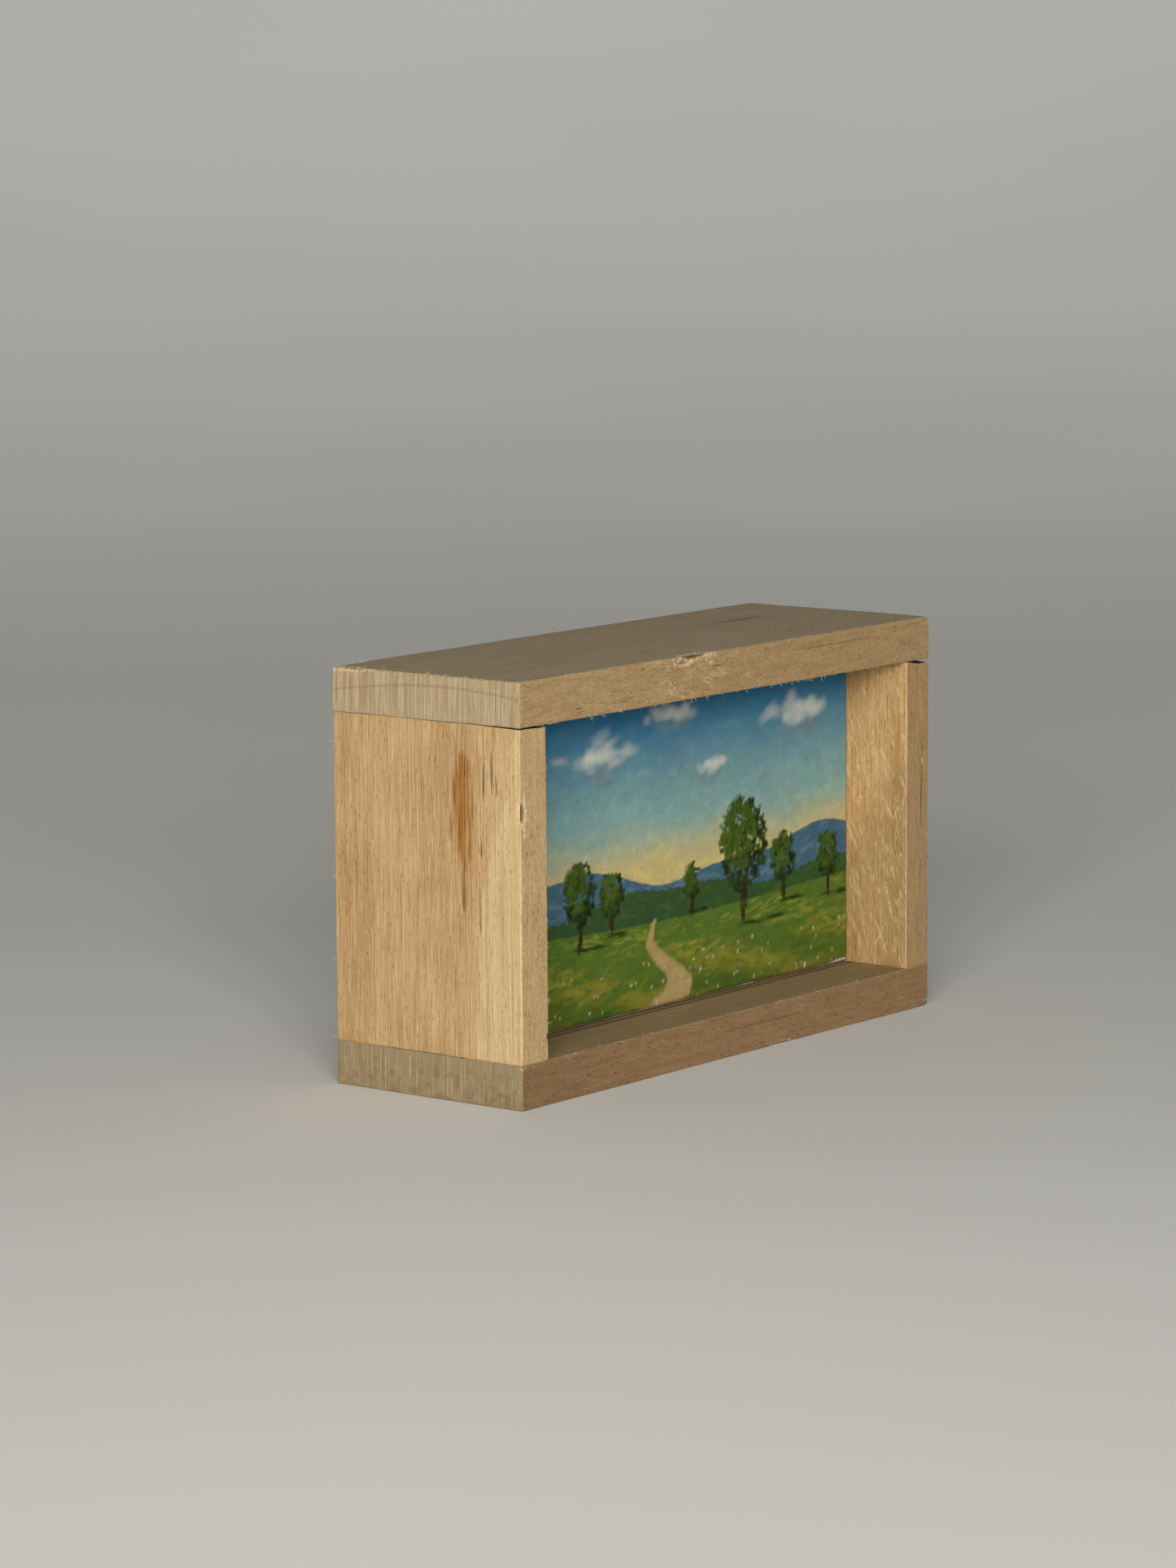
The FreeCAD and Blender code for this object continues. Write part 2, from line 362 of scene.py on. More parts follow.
# -------- Materials --------
class Finish:
    """A material in the making. Each method adds a node and returns the socket that it gives."""

    def __init__(self, name):
        self.material = bpy.data.materials.new(name)
        self.material.use_nodes = True
        self.tree = self.material.node_tree
        self.shader = self.tree.nodes["Principled BSDF"]

    def node(self, kind, inputs, **settings):
        """Adds a node. Each input is a plain value or another node's socket."""
        made = self.tree.nodes.new(kind)
        for key, value in settings.items():
            setattr(made, key, value)
        for key, value in inputs.items():
            if isinstance(value, bpy.types.NodeSocket):
                self.tree.links.new(value, made.inputs[key])
            elif value is not None:
                made.inputs[key].default_value = value
        return made

    def place(self, stretch=(1, 1, 1)):
        """Place on the object in millimetres, divided by the stretch of the pattern."""
        where = self.node("ShaderNodeTexCoord", {}).outputs["Object"]
        scale = tuple(1 / (MM * s) for s in stretch)
        return self.node("ShaderNodeMapping", {"Vector": where, "Scale": scale}).outputs["Vector"]

    def noise(self, stretch, detail=3.0, rough=0.6, twist=0.0):
        """Noise in 0..1 with blotches of the given size in millimetres."""
        inputs = {"Vector": self.place(stretch), "Scale": 1.0, "Detail": detail, "Roughness": rough,
                  "Distortion": twist}
        return self.node("ShaderNodeTexNoise", inputs).outputs["Fac"]

    def mask(self, name, strength=1.0):
        """A number kept on the mesh, times a strength."""
        kept = self.node("ShaderNodeAttribute", {}, attribute_name=name).outputs["Fac"]
        return kept if strength == 1.0 else self.math("MULTIPLY", kept, strength)

    def range(self, value, low, high, out_low=0.0, out_high=1.0):
        """Smoothly maps low..high to out_low..out_high."""
        inputs = {"Value": value, "From Min": low, "From Max": high, "To Min": out_low, "To Max": out_high}
        made = self.node("ShaderNodeMapRange", inputs, interpolation_type="SMOOTHSTEP")
        return made.outputs["Result"]

    def math(self, operation, a, b=None):
        """One sum of one or two numbers."""
        inputs = {0: a} if b is None else {0: a, 1: b}
        return self.node("ShaderNodeMath", inputs, operation=operation).outputs[0]

    def mix(self, factor, a, b, blend="MIX"):
        """Mixes two colours."""
        a, b = (c if isinstance(c, bpy.types.NodeSocket) else (*c, 1.0) for c in (a, b))
        made = self.node("ShaderNodeMix", {0: factor, 6: a, 7: b}, data_type="RGBA", blend_type=blend)
        return made.outputs[2]

    def bump(self, height, distance, strength=1.0, under=None):
        """Bumps whose height of 1 stands for the given distance in millimetres."""
        inputs = {"Height": height, "Distance": distance * MM, "Strength": strength, "Normal": under}
        return self.node("ShaderNodeBump", inputs).outputs["Normal"]

    def finish(self, **sockets):
        """Feeds the shader, such as Base_Color or Roughness, and returns the material."""
        for key, value in sockets.items():
            socket = self.shader.inputs[key.replace("_", " ")]
            if isinstance(value, bpy.types.NodeSocket):
                self.tree.links.new(value, socket)
            else:
                socket.default_value = value
        return self.material


def stretched(grain, along, across, through):
    """Pattern size on X, Y and Z for a board whose grain runs along X (0) or Z (2)."""
    return (along, across, through) if grain == 0 else (through, across, along)


def board_wood(name, board, settings):
    """Bare smooth-grained wood: fine long fibres, pale threads, small pores, rough sawn edges, cut
    ends and the marks that the board's own masks place, painted shade and painted highlights among them."""
    look = Finish(name)
    s, grain = settings, board.grain
    rings = look.noise(stretched(grain, 90, 3.4, 9), detail=2, twist=0.3)
    fibres = look.noise(stretched(grain, 18, 0.21, 0.7), detail=3, rough=0.65)
    threads = look.noise(stretched(grain, 5, 0.12, 0.3), detail=3, rough=0.7)
    pores = look.noise(stretched(grain, 1.0, 0.13, 0.16), detail=1)
    blotches = look.noise((8, 7, 9), detail=3)
    speckle = look.noise(stretched(grain, 0.30, 0.19, 0.19), detail=4, rough=0.8)
    streaks = look.noise(stretched(grain, 6, 0.9, 0.8), detail=5, rough=0.75, twist=0.3)
    colour = look.mix(look.range(rings, 0.38, 0.68, 0, 0.5), s.heartwood, s.late_wood)
    colour = look.mix(look.range(blotches, 0.35, 0.7, 0, 0.3), colour, s.sapwood)
    colour = look.mix(look.mask("sapwood", 0.72), colour, s.sapwood)
    colour = look.mix(look.range(fibres, 0.42, 0.66, 0, 0.54), colour, s.late_wood)
    colour = look.mix(look.range(threads, 0.50, 0.68, 0, 0.44), colour, s.fibre_and_highlight)
    colour = look.mix(look.range(threads, 0.46, 0.30, 0, 0.40), colour, s.knot)
    sawn = look.mix(look.range(streaks, 0.36, 0.66, 0, 0.85), s.sawn_edge, s.sawn_streak)
    sawn = look.mix(look.range(speckle, 0.52, 0.70, 0, 0.50), sawn, s.fibre_and_highlight)
    sawn = look.mix(look.range(speckle, 0.46, 0.28, 0, 0.42), sawn, s.crevice_and_shade)
    sawn = look.mix(1.0, sawn, board.sawn_tint, blend="MULTIPLY")
    colour = look.mix(look.mask("sawn", 0.95), colour, sawn)
    stripes = look.noise((3, 0.20, 9) if grain == 0 else (9, 0.3, 3), detail=4, rough=0.75)
    cut = look.mix(look.range(stripes, 0.44, 0.66, 0, 0.85), s.end_grain, s.late_wood)
    cut = look.mix(look.range(stripes, 0.50, 0.28, 0, 0.6), cut, s.fibre_and_highlight)
    colour = look.mix(look.mask("end_grain"), colour, cut)
    # Partly greyed wood, partly painted shade and a painted cool reflection of the sky.
    colour = look.mix(look.mask("weathered_and_shade", 0.8), colour, s.weathered_and_shade)
    colour = look.mix(look.range(pores, 0.62, 0.72, 0, 0.5), colour, s.crevice_and_shade)
    resin = look.mix(look.range(fibres, 0.40, 0.60, 0, 0.9), s.knot, s.resin)
    resin = look.mix(look.range(threads, 0.5, 0.7, 0, 0.5), resin, s.heartwood)
    colour = look.mix(look.mask("knot"), colour, resin)
    # The dirt and crack masks also carry painted shade, and the pale mask a painted highlight.
    colour = look.mix(look.mask("dirt_and_shade", 0.5), colour, s.crevice_and_shade)
    colour = look.mix(look.mask("pale"), colour, s.fibre_and_highlight)
    colour = look.mix(look.mask("crack_and_shade"), colour, s.crevice_and_shade)
    colour = look.mix(1.0, colour, board.tint, blend="MULTIPLY")
    fine = look.math("ADD", look.math("MULTIPLY", threads, 0.6), look.math("MULTIPLY", speckle, 0.6))
    relief = look.bump(fine, 0.05, 0.6, look.bump(look.range(pores, 0.76, 0.62), 0.05, 0.5))
    return look.finish(
        Base_Color=colour,
        Roughness=look.range(fibres, 0.3, 0.7, 0.66, 0.86),
        Normal=relief,
        Specular_IOR_Level=0.25,
    )


def strainer_wood(name, grain, settings):
    """Planed pine with soft rings and short resin lines."""
    look = Finish(name)
    rings = look.noise(stretched(grain, 60, 1.4, 2.6), detail=2, twist=0.6)
    fibres = look.noise(stretched(grain, 12, 0.25, 0.4), detail=4, rough=0.7)
    resin = look.noise(stretched(grain, 3.0, 0.14, 0.2), detail=1)
    colour = look.mix(look.range(rings, 0.45, 0.62, 0, 0.8), settings.pine, settings.pine_ring)
    colour = look.mix(look.range(fibres, 0.4, 0.75, 0, 0.45), colour, settings.pine_ring)
    colour = look.mix(look.range(resin, 0.68, 0.78, 0, 0.5), colour, linear("#6b431f"))
    return look.finish(
        Base_Color=colour,
        Roughness=look.range(fibres, 0.3, 0.7, 0.55, 0.78),
        Normal=look.bump(fibres, 0.05, 0.6),
        Specular_IOR_Level=0.35,
    )


def weave_height(look, pitch):
    """Plain weave from the flat cloth's UV map, which is in metres: the product of the two
    threads' sines stands up where one passes over the other."""
    flat = look.node("ShaderNodeUVMap", {}, uv_map="flat_cloth").outputs["UV"]
    wobble = look.node(
        "ShaderNodeTexNoise", {"Vector": flat, "Scale": 900.0, "Detail": 2.0}
    ).outputs["Fac"]
    axes = look.node("ShaderNodeSeparateXYZ", {"Vector": flat}).outputs
    waves = []
    for axis in (axes["X"], axes["Y"]):
        turns = look.math("MULTIPLY", axis, math.pi / pitch)
        turns = look.math("ADD", turns, look.math("MULTIPLY", wobble, 1.4))
        waves.append(look.math("SINE", turns))
    return look.math("MULTIPLY", waves[0], waves[1])


def primed_cloth(settings):
    """White ground on the cotton, a little grey and worn, with the weave showing through and painted
    shade in its hollows.
    """
    look = Finish("primed_cotton")
    height = weave_height(look, settings.thread)
    stains = look.noise((6, 6, 6), detail=4)
    colour = look.mix(look.range(stains, 0.45, 0.75, 0, 0.5), settings.priming, linear("#bfb9a4"))
    # Painted shade: the weave's hollows are darker.
    colour = look.mix(look.range(height, 0.1, -0.9, 0, 0.35), colour, linear("#a49c86"))
    return look.finish(
        Base_Color=colour, Roughness=look.range(stains, 0.3, 0.7, 0.62, 0.8),
        Normal=look.bump(height, 0.09, 0.8),
    )


def raw_cloth(settings):
    """Unprimed cotton, with painted shade in the gaps between the threads."""
    look = Finish("raw_cotton")
    height = weave_height(look, settings.thread)
    slubs = look.noise((0.5, 0.5, 0.5), detail=2)
    colour = look.mix(look.range(slubs, 0.4, 0.75, 0, 0.3), settings.raw_cotton, linear("#b89f72"))
    # Painted shade: the gaps between the threads are darker.
    colour = look.mix(look.range(height, 0.0, -0.9, 0, 0.55), colour, linear("#8a7148"))
    return look.finish(
        Base_Color=colour, Roughness=look.range(slubs, 0.3, 0.7, 0.78, 0.92),
        Normal=look.bump(height, 0.10, 0.8), Specular_IOR_Level=0.15,
    )


def paint_finish(name):
    """Satin paint: the mesh carries its colour, and bristle tracks, the cotton's grain and thin
    spots vary it."""
    look = Finish(name)
    laid = look.node("ShaderNodeAttribute", {}, attribute_name="paint").outputs["Color"]
    tracks = look.noise((1.3, 1, 0.24), detail=4, rough=0.7, twist=0.6)
    upright = look.noise((0.24, 1, 1.3), detail=4, rough=0.7, twist=0.6)
    dabs = look.noise((1.6, 1, 1.4), detail=4, rough=0.65)
    cotton = look.noise((0.22, 1, 0.22), detail=2)
    shade = look.math("ADD", look.math("MULTIPLY", tracks, 0.5), look.math("MULTIPLY", upright, 0.5))
    deeper = look.mix(1.0, laid, (0.62, 0.66, 0.62), blend="MULTIPLY")
    lighter = look.mix(1.0, laid, (1.22, 1.22, 1.15), blend="MULTIPLY")
    colour = look.mix(look.range(shade, 0.50, 0.70, 0, 0.75), laid, deeper)
    colour = look.mix(look.range(dabs, 0.45, 0.75, 0, 0.8), colour, lighter)
    relief = look.bump(shade, 0.05, 0.6, look.bump(cotton, 0.03, 0.6))
    return look.finish(
        Base_Color=colour, Roughness=look.range(dabs, 0.3, 0.7, 0.42, 0.62), Normal=relief,
        Specular_IOR_Level=0.05,
    )


def wire_steel(name, colour, rough):
    """Drawn steel with fine scratches and a few dull spots."""
    look = Finish(name)
    scratches = look.noise((0.5, 0.06, 0.06), detail=3)
    spots = look.noise((0.7, 0.7, 0.7), detail=3)
    worn = look.mix(look.range(spots, 0.5, 0.75, 0, 0.6), colour, linear("#5e5a52"))
    return look.finish(
        Base_Color=worn, Metallic=1.0, Roughness=look.range(scratches, 0.3, 0.7, rough, rough + 0.22),
        Normal=look.bump(scratches, 0.02, 0.5),
    )


def dried_glue(settings):
    """Clear yellowish glue with milky spots and a gloss that dips where it has shrunk."""
    look = Finish("dried_glue")
    milk = look.noise((1.8, 1.8, 1.8), detail=2)
    skin = look.noise((2.2, 2.2, 2.2), detail=1)
    colour = look.mix(look.range(milk, 0.42, 0.7), settings.glue, linear("#e6dcc0"))
    return look.finish(
        Base_Color=colour, Roughness=look.range(skin, 0.3, 0.7, 0.12, 0.3), Normal=look.bump(skin, 0.08, 0.6),
        Specular_IOR_Level=0.5, Subsurface_Weight=0.25, Subsurface_Scale=1.5 * MM,
    )


# -------- The four boards --------
@dataclass
class Streak:
    """A spindle-shaped mark along the grain on one side of a board. Places are in millimetres from
    the board's low corner: at on the axis across the mark, and centre along the grain."""

    side: tuple
    across: int
    at: float
    centre: float
    half_length: float
    half_width: float
    depth: float = 0.85
    lean: float = 0.0
    kind: str = "crack_and_shade"


@dataclass
class Board:
    """A board of the box frame, its grain axis, its colour against the others, and its marks. The
    bottom board's darker tints are painted shade.
    """

    node: str
    grain: int
    steps: tuple
    seed: int
    tint: tuple
    sawn_tint: tuple
    streaks: tuple = ()
    chips: tuple = ()


LEFT, RIGHT, FRONT, TOP = (-1, 0, 0), (1, 0, 0), (0, -1, 0), (0, 0, 1)


def marks(side, across, *rows):
    """Streaks on one side of a board, from rows of their other values."""
    return tuple(Streak(side, across, *row) for row in rows)


LEFT_MARKS = marks(
    LEFT, 1,
    (8.8, 29.4, 7.4, 1.95, 0.95, 0, "knot"), (8.6, 21.6, 4.2, 0.42, 0.9, 0, "knot"),
    (9.7, 35.6, 2.6, 0.14, 0.6), (8.3, 35.9, 2.2, 0.12, 0.5), (10.0, 30.6, 3.6, 0.16, 0.6),
    (5.5, 33.3, 2.5, 0.19, 1.0, -0.03),
    (4.3, 34.6, 2.8, 0.22, 1.0, 0.02), (3.6, 33.0, 1.6, 0.15, 0.9, 0.10), (6.0, 29.2, 1.5, 0.10, 0.5),
    (5.9, 25.3, 1.3, 0.16, 0.8), (6.2, 18.2, 3.4, 0.15, 0.8, 0.02), (15.6, 20.0, 2.1, 0.10, 0.5),
    (17.6, 1.8, 1.4, 0.13, 0.6), (13.5, 31.0, 2.0, 0.08, 0.4), (21.4, 12.4, 1.2, 0.08, 0.4),
)
RIGHT_MARKS = marks(
    FRONT, 0, (3.5, 22.6, 4.6, 0.21, 1.0, 0.03), (3.6, 28.4, 1.6, 0.16, 0.8, -0.06)
) + marks(RIGHT, 1, (9.0, 25.0, 5.0, 0.12), (19.5, 13.0, 3.4, 0.10))
TOP_MARKS = marks(
    TOP, 1, (18.0, 66.0, 7.0, 0.9, 0.85, 0, "dirt_and_shade"), (19.6, 69.0, 3.0, 0.16), (11.0, 20.0, 6.0, 0.10)
) + marks(
    FRONT, 2, (1.2, 11.2, 0.5, 0.12), (0.8, 11.0, 0.3, 0.10), (3.6, 39.0, 2.2, 0.10, 0.85, 0.05),
    (3.9, 63.0, 9.0, 0.05, 0.4), (2.0, 72.0, 5.0, 0.05, 0.4),
)
BOTTOM_MARKS = marks(
    FRONT, 2, (3.3, 48.0, 8.0, 0.06, 0.4), (1.6, 60.0, 6.0, 0.06, 0.4), (2.6, 22.0, 5.0, 0.06, 0.4)
)
# A chip is a scoop: its centre from the board's low corner, its reach and its depth, in
# millimetres.
BOARDS = (
    Board(
        "top_board", 0, (0.36, 0.23, 0.15), 11, (1.0, 1.0, 1.02), (0.95, 0.95, 0.90), TOP_MARKS,
        (
            ((34.0, 0.0, 5.4), (2.4, 0.9, 0.5), 0.32),
            ((31.5, 0.0, 4.6), (1.4, 0.5, 0.35), 0.16),
            ((0.0, 26.0, 5.4), (0.6, 2.6, 0.3), 0.22),
            ((3.5, 28.6, 5.4), (2.6, 0.5, 0.4), 0.20),
            ((84.4, 0.0, 5.4), (0.5, 0.5, 0.5), 0.25),
        ),
    ),
    Board(
        # Painted shade: the bottom board's tint and sawn tint darken it against the others.
        "bottom_board", 0, (0.36, 0.23, 0.15), 23, (0.76, 0.735, 0.685), (0.83, 0.775, 0.79), BOTTOM_MARKS,
        (
            ((0.0, 0.0, 5.4), (0.4, 0.4, 0.4), 0.2),
            ((84.4, 0.0, 0.0), (0.7, 0.6, 0.6), 0.3),
            ((52.0, 0.0, 0.0), (2.0, 0.5, 0.3), 0.2),
        ),
    ),
    Board(
        "left_board", 2, (0.20, 0.125, 0.31), 37, (1.0, 1.0, 1.0), (1.18, 1.20, 1.20), LEFT_MARKS,
        (
            ((0.45, 0.0, 30.0), (0.34, 0.35, 1.1), 0.42),
            ((0.6, 0.0, 27.6), (0.2, 0.25, 0.5), 0.18),
            ((5.0, 0.0, 2.7), (0.25, 0.3, 0.5), 0.2),
        ),
    ),
    Board(
        "right_board", 2, (0.13, 0.16, 0.31), 53, (1.02, 0.97, 0.87), (0.87, 0.89, 0.94), RIGHT_MARKS,
        (((3.3, 0.0, 27.2), (0.3, 0.3, 0.45), 0.2),),
    ),
)


def facing(normals, side):
    """1 where the surface looks to the given side, 0 where it looks away."""
    return ease(normals @ np.array(side, float), 0.72, 0.93)


def streak_mask(local, normals, grain, mark, seed):
    """How strongly a streak shows. With g from -1 to 1 along it, its half width is
    w = h (1 - g^2)^0.75. At a distance a from a middle line that wanders a little, the mark is
    1 - |a| / w. A knot's edge is frayed by fibres that are long on the grain."""
    along = (local[:, grain] - mark.centre) / mark.half_length
    width = mark.half_width * np.clip(1 - along**2, 0, 1) ** 0.75 + 1e-9
    zero = np.zeros(len(local))
    wander = mark.half_width * 0.12 * flat_noise(local[:, grain] * 0.4, zero, seed)
    offset = local[:, mark.across] - mark.at - mark.lean * (local[:, grain] - mark.centre) - wander
    level = 1 - np.abs(offset) / width
    if mark.kind == "crack_and_shade":
        return facing(normals, mark.side) * np.clip(level, 0, 1) * mark.depth
    place = np.stack([local[:, mark.across] * 3.2, local[:, grain] * 0.22, zero + seed], 1)
    frayed = rough_noise(place, seed, 2)
    inside = ease(level + 0.95 * frayed * (np.abs(along) < 1), 0.0, 0.7)
    return facing(normals, mark.side) * inside * mark.depth


def scuffs(local, normals, board, count=260):
    """Pale slanting scratches on the inner face of the right board: for each, how near a point is
    to a straight line of a given length, lean and width."""
    total = np.zeros(len(local))
    if board.node != "right_board":
        return total
    draw = np.random.default_rng(board.seed)
    for _ in range(count):
        y, z = draw.uniform(0, 9.5), draw.uniform(0, 40)
        lean = math.radians(draw.choice([-1, 1], p=[0.1, 0.9]) * draw.uniform(10, 34))
        half, width = 0.3 + draw.exponential(0.75), draw.uniform(0.07, 0.14)
        dy, dz = local[:, 1] - y, local[:, 2] - z
        along = dz * math.cos(lean) + dy * math.sin(lean)
        across = dy * math.cos(lean) - dz * math.sin(lean)
        line = np.clip(1 - np.abs(across) / width, 0, 1) * ease(1 - np.abs(along) / half, 0, 0.4)
        total = np.maximum(total, line * draw.uniform(0.35, 1.0))
    broken = ease(smooth_noise(local * 1.4, board.seed + 1), -0.75, 0.1)
    return total * broken * facing(normals, LEFT)


def raised_fibres(local, normals, board):
    """Short pale tufts on the sawn front edges: ridges of a noise that is long one way and narrow
    the other, turned by a slowly changing angle, and only where a second noise is high."""
    x, z = (local[:, 0], local[:, 2]) if board.grain == 0 else (local[:, 2], local[:, 0])
    turn = 1.1 * flat_noise(x * 0.5, z * 0.5, board.seed + 5) + 0.9
    u, v = x * np.cos(turn) + z * np.sin(turn), z * np.cos(turn) - x * np.sin(turn)
    ridge = 1 - np.abs(flat_noise(u * 1.1, v * 5.5, board.seed + 6)) * 2.6
    spots = ease(flat_noise(x * 0.8, z * 1.2, board.seed + 7), -0.05, 0.6)
    if board.node == "top_board":
        spots = spots * (0.3 + 1.2 * ease(13 - np.abs(x - 35), 0, 7))
    else:
        spots = spots * 0.3
    return np.clip(ridge, 0, 1) ** 2 * spots * facing(normals, FRONT)


def sapwood_mask(local, board):
    """The left board's pale strip: in front of a line that runs from 0.6 mm behind the front edge
    at the top to 6.8 mm at the bottom, with fibres of each colour crossing it."""
    if board.node != "left_board":
        return np.zeros(len(local))
    line = np.interp(local[:, 2], [0, 15, 20, 28, 33, 40], [6.8, 6.6, 6.0, 3.6, 1.8, 0.6])
    frayed = 0.9 * rough_noise(local * [1, 2.2, 0.12], board.seed + 8)
    return ease(line - local[:, 1] + frayed, -0.8, 0.9)


def board_masks(local, normals, board):
    """Where each kind of wood and each mark shows on a board, from 0 to 1, painted shade and painted
    highlights among them.
    """
    masks = {kind: np.zeros(len(local)) for kind in ("knot", "crack_and_shade", "dirt_and_shade")}
    masks["sapwood"] = sapwood_mask(local, board)
    masks["end_grain"] = ease(np.abs(normals[:, board.grain]), 0.6, 0.9)
    masks["sawn"] = ease(np.abs(normals[:, 1]), 0.55, 0.9)

    def add(kind, level):
        masks[kind] = np.maximum(masks[kind], level)

    for k, mark in enumerate(board.streaks):
        add(mark.kind, streak_mask(local, normals, board.grain, mark, board.seed + k))
    tufts = 0.36 * raised_fibres(local, normals, board)
    masks["pale"] = np.maximum(0.85 * scuffs(local, normals, board), tufts)
    # The side boards' rounded edges are paler: partly worn wood, partly painted highlight.
    worn_edge_and_highlight = 1 - np.abs(normals).max(axis=1)
    masks["pale"] = np.clip(masks["pale"] + 1.2 * worn_edge_and_highlight * (board.grain == 2), 0, 0.8)
    masks["weathered_and_shade"] = weathering_and_shade(local, normals, board)
    if board.node == "top_board":
        ring = local[:, 2] - 2.6 - 1.5 * np.sin(np.clip((28.6 - local[:, 1]) / 34, 0, 1) * math.pi)
        add("dirt_and_shade", 0.55 * np.exp(-((ring / 0.13) ** 2)) * facing(normals, LEFT))
        # Painted shade: the top board's front darkens towards the right.
        add("dirt_and_shade", 0.17 * ease(local[:, 0], 5, 60) * facing(normals, FRONT))
    if board.node == "bottom_board":
        # The bottom board's left end gets darker blotches, more towards the bottom: partly smudges, partly
        # painted shade.
        spots = rough_noise(local * [1, 0.9, 1.3], board.seed + 14, 4)
        add("dirt_and_shade", 0.55 * ease(spots + 0.3 - 0.12 * local[:, 2], -0.2, 0.9) * facing(normals, LEFT))
        # Painted shade: the bottom board's front darkens towards the left end.
        add("dirt_and_shade", 0.30 * ease(local[:, 0], 34, 0) * facing(normals, FRONT))
        # Painted shade: a dark line on the bottom board's upper face where it meets the canvas.
        shade_under_canvas = np.exp(-(((local[:, 1] - 9.1) / 0.32) ** 2))
        add("crack_and_shade", 0.8 * shade_under_canvas * facing(normals, TOP))
    # Painted shade: the side boards' upper ends darken towards the front, inside the open joint under the top
    # board.
    if board.grain == 2:
        add("crack_and_shade", 0.9 * facing(normals, TOP) * ease(local[:, 1], 9, 0))
    if board.node == "right_board":
        # Painted shade: the right board's inner face darkens lower down and towards the front.
        shade_low_down = ease(31 - local[:, 2] - 1.2 * local[:, 1] + 3 * rough_noise(local * 0.25, 15), 0, 9)
        add("dirt_and_shade", 0.42 * shade_low_down * facing(normals, LEFT))
    return masks


def weathering_and_shade(local, normals, board):
    """Greyed wood: the upper faces of the top and bottom boards, partly greyed wood and partly painted
    shade with a painted cool reflection of the sky, and a smudged strip along the upper edge of the
    bottom board's left end."""
    patchy = 0.85 + 0.15 * rough_noise(local * 0.3, board.seed + 12)
    if board.node == "top_board":
        return facing(normals, TOP) * patchy
    if board.node == "bottom_board":
        smudge = rough_noise(local * [1, 0.5, 0.9], board.seed + 13)
        smudged = 0.35 * facing(normals, LEFT) * ease(local[:, 2] + 3.0 * smudge, 2.0, 5.4)
        return np.maximum(smudged, 0.65 * patchy * facing(normals, TOP))
    return np.zeros(len(local))


def joint_opening(local, board, size, gap):
    """How far the top end of a side board stands below the top board: widest at the front, and
    closed towards the back. The last 3 mm of the board share it."""
    if board.grain == 0:
        return 0
    along = local[:, 0] / size[0]
    profile = 0.3 + 0.7 * along if board.node == "left_board" else 0.2 + 1.6 * ease(along, 0.0, 0.6)
    return gap * profile * np.exp(-local[:, 1] / 7.0) * ease(local[:, 2], size[2] - 3, size[2])


def crooked_end(local, normals, board, size):
    """The top board's left end, cut out of square: it stands out by 0.25 mm near its underside."""
    if board.node != "top_board":
        return 0
    low_part = np.sin(np.clip(1.15 - local[:, 2] / size[2], 0, 1) * math.pi / 2)
    towards_back = 0.35 + 0.65 * local[:, 1] / size[1]
    return 0.25 * low_part * towards_back * facing(normals, LEFT)


def chip_depth(local, seed, chips):
    """Depth of the scoops: d exp(-r^2), where r is the distance from a chip's centre in units of
    its reach, roughened by noise."""
    total = np.zeros(len(local))
    for k, (centre, reach, depth) in enumerate(chips):
        away = (local - np.array(centre)) / np.array(reach)
        away = away * (1 + 0.35 * smooth_noise(local * 3.1, seed + 40 + k)[:, None])
        total += depth * np.exp(-(away**2).sum(axis=1))
    return total


def board_relief(local, normals, board, size, masks, settings):
    """Height of a board's surface over the plain rounded block, in millimetres: long fibres, rough
    sawn edges, worn corners, then cracks, pits, chips, open joints and the crooked end."""
    grain = board.grain
    stretch = np.array(stretched(grain, 1 / 7.0, 1 / 0.3, 1 / 0.3))
    fibres = rough_noise(local * stretch, board.seed + 1)
    rough = rough_noise(local * 2.6, board.seed + 2, octaves=4)
    swell = smooth_noise(local * stretched(grain, 0.05, 0.16, 0.2), board.seed + 3)
    edge = 1 - np.abs(normals).max(axis=1)
    wear = 0.5 + 0.5 * rough_noise(local * stretched(grain, 0.35, 0.5, 0.5), board.seed + 4)
    height = settings.fibre_relief / MM * fibres + 0.05 * swell
    height += settings.saw_relief / MM * rough * (0.25 + 0.75 * masks["sawn"])
    height += 0.05 * raised_fibres(local, normals, board)
    height -= edge * (0.05 + 0.30 * wear**2)
    height -= 0.16 * masks["crack_and_shade"]
    height -= chip_depth(local, board.seed, board.chips)
    height += crooked_end(local, normals, board, size)
    if board.node == "top_board":
        height += 0.55 * edge * rough_noise(local * 0.9, board.seed + 9) * ease(local[:, 0], 26, 6)
    if board.node == "bottom_board":
        height = np.where(normals[:, 2] < -0.9, np.minimum(height, 0), height)
    return height


def make_board(board, settings):
    """Builds one board as a rounded block with relief along its normals."""
    low, high = node_box(board.node)
    points, normals, faces = rounded_block(low, high, settings.edge_radius, np.array(board.steps) * MM)
    local, size = (points - low) / MM, (high - low) / MM
    masks = board_masks(local, normals, board)
    height = board_relief(local, normals, board, size, masks, settings)
    scooped = chip_depth(local, board.seed, board.chips)
    # Painted shade: each chip is darkest where it is deepest; the pale ring round it is broken fibres.
    masks["crack_and_shade"] = np.maximum(masks["crack_and_shade"], 0.75 * ease(scooped, 0.10, 0.26))
    masks["pale"] = np.maximum(masks["pale"], 0.7 * ease(scooped, 0.02, 0.06) * ease(scooped, 0.11, 0.07))
    points = points + normals * (height * MM)[:, None]
    points[:, 2] -= joint_opening(local, board, size, settings.joint_gap / MM) * MM
    wood = board_wood(f"{board.node}_wood", board, settings)
    make_piece(f"{board.node}_wood", points, faces, wood, masks, [board.node])


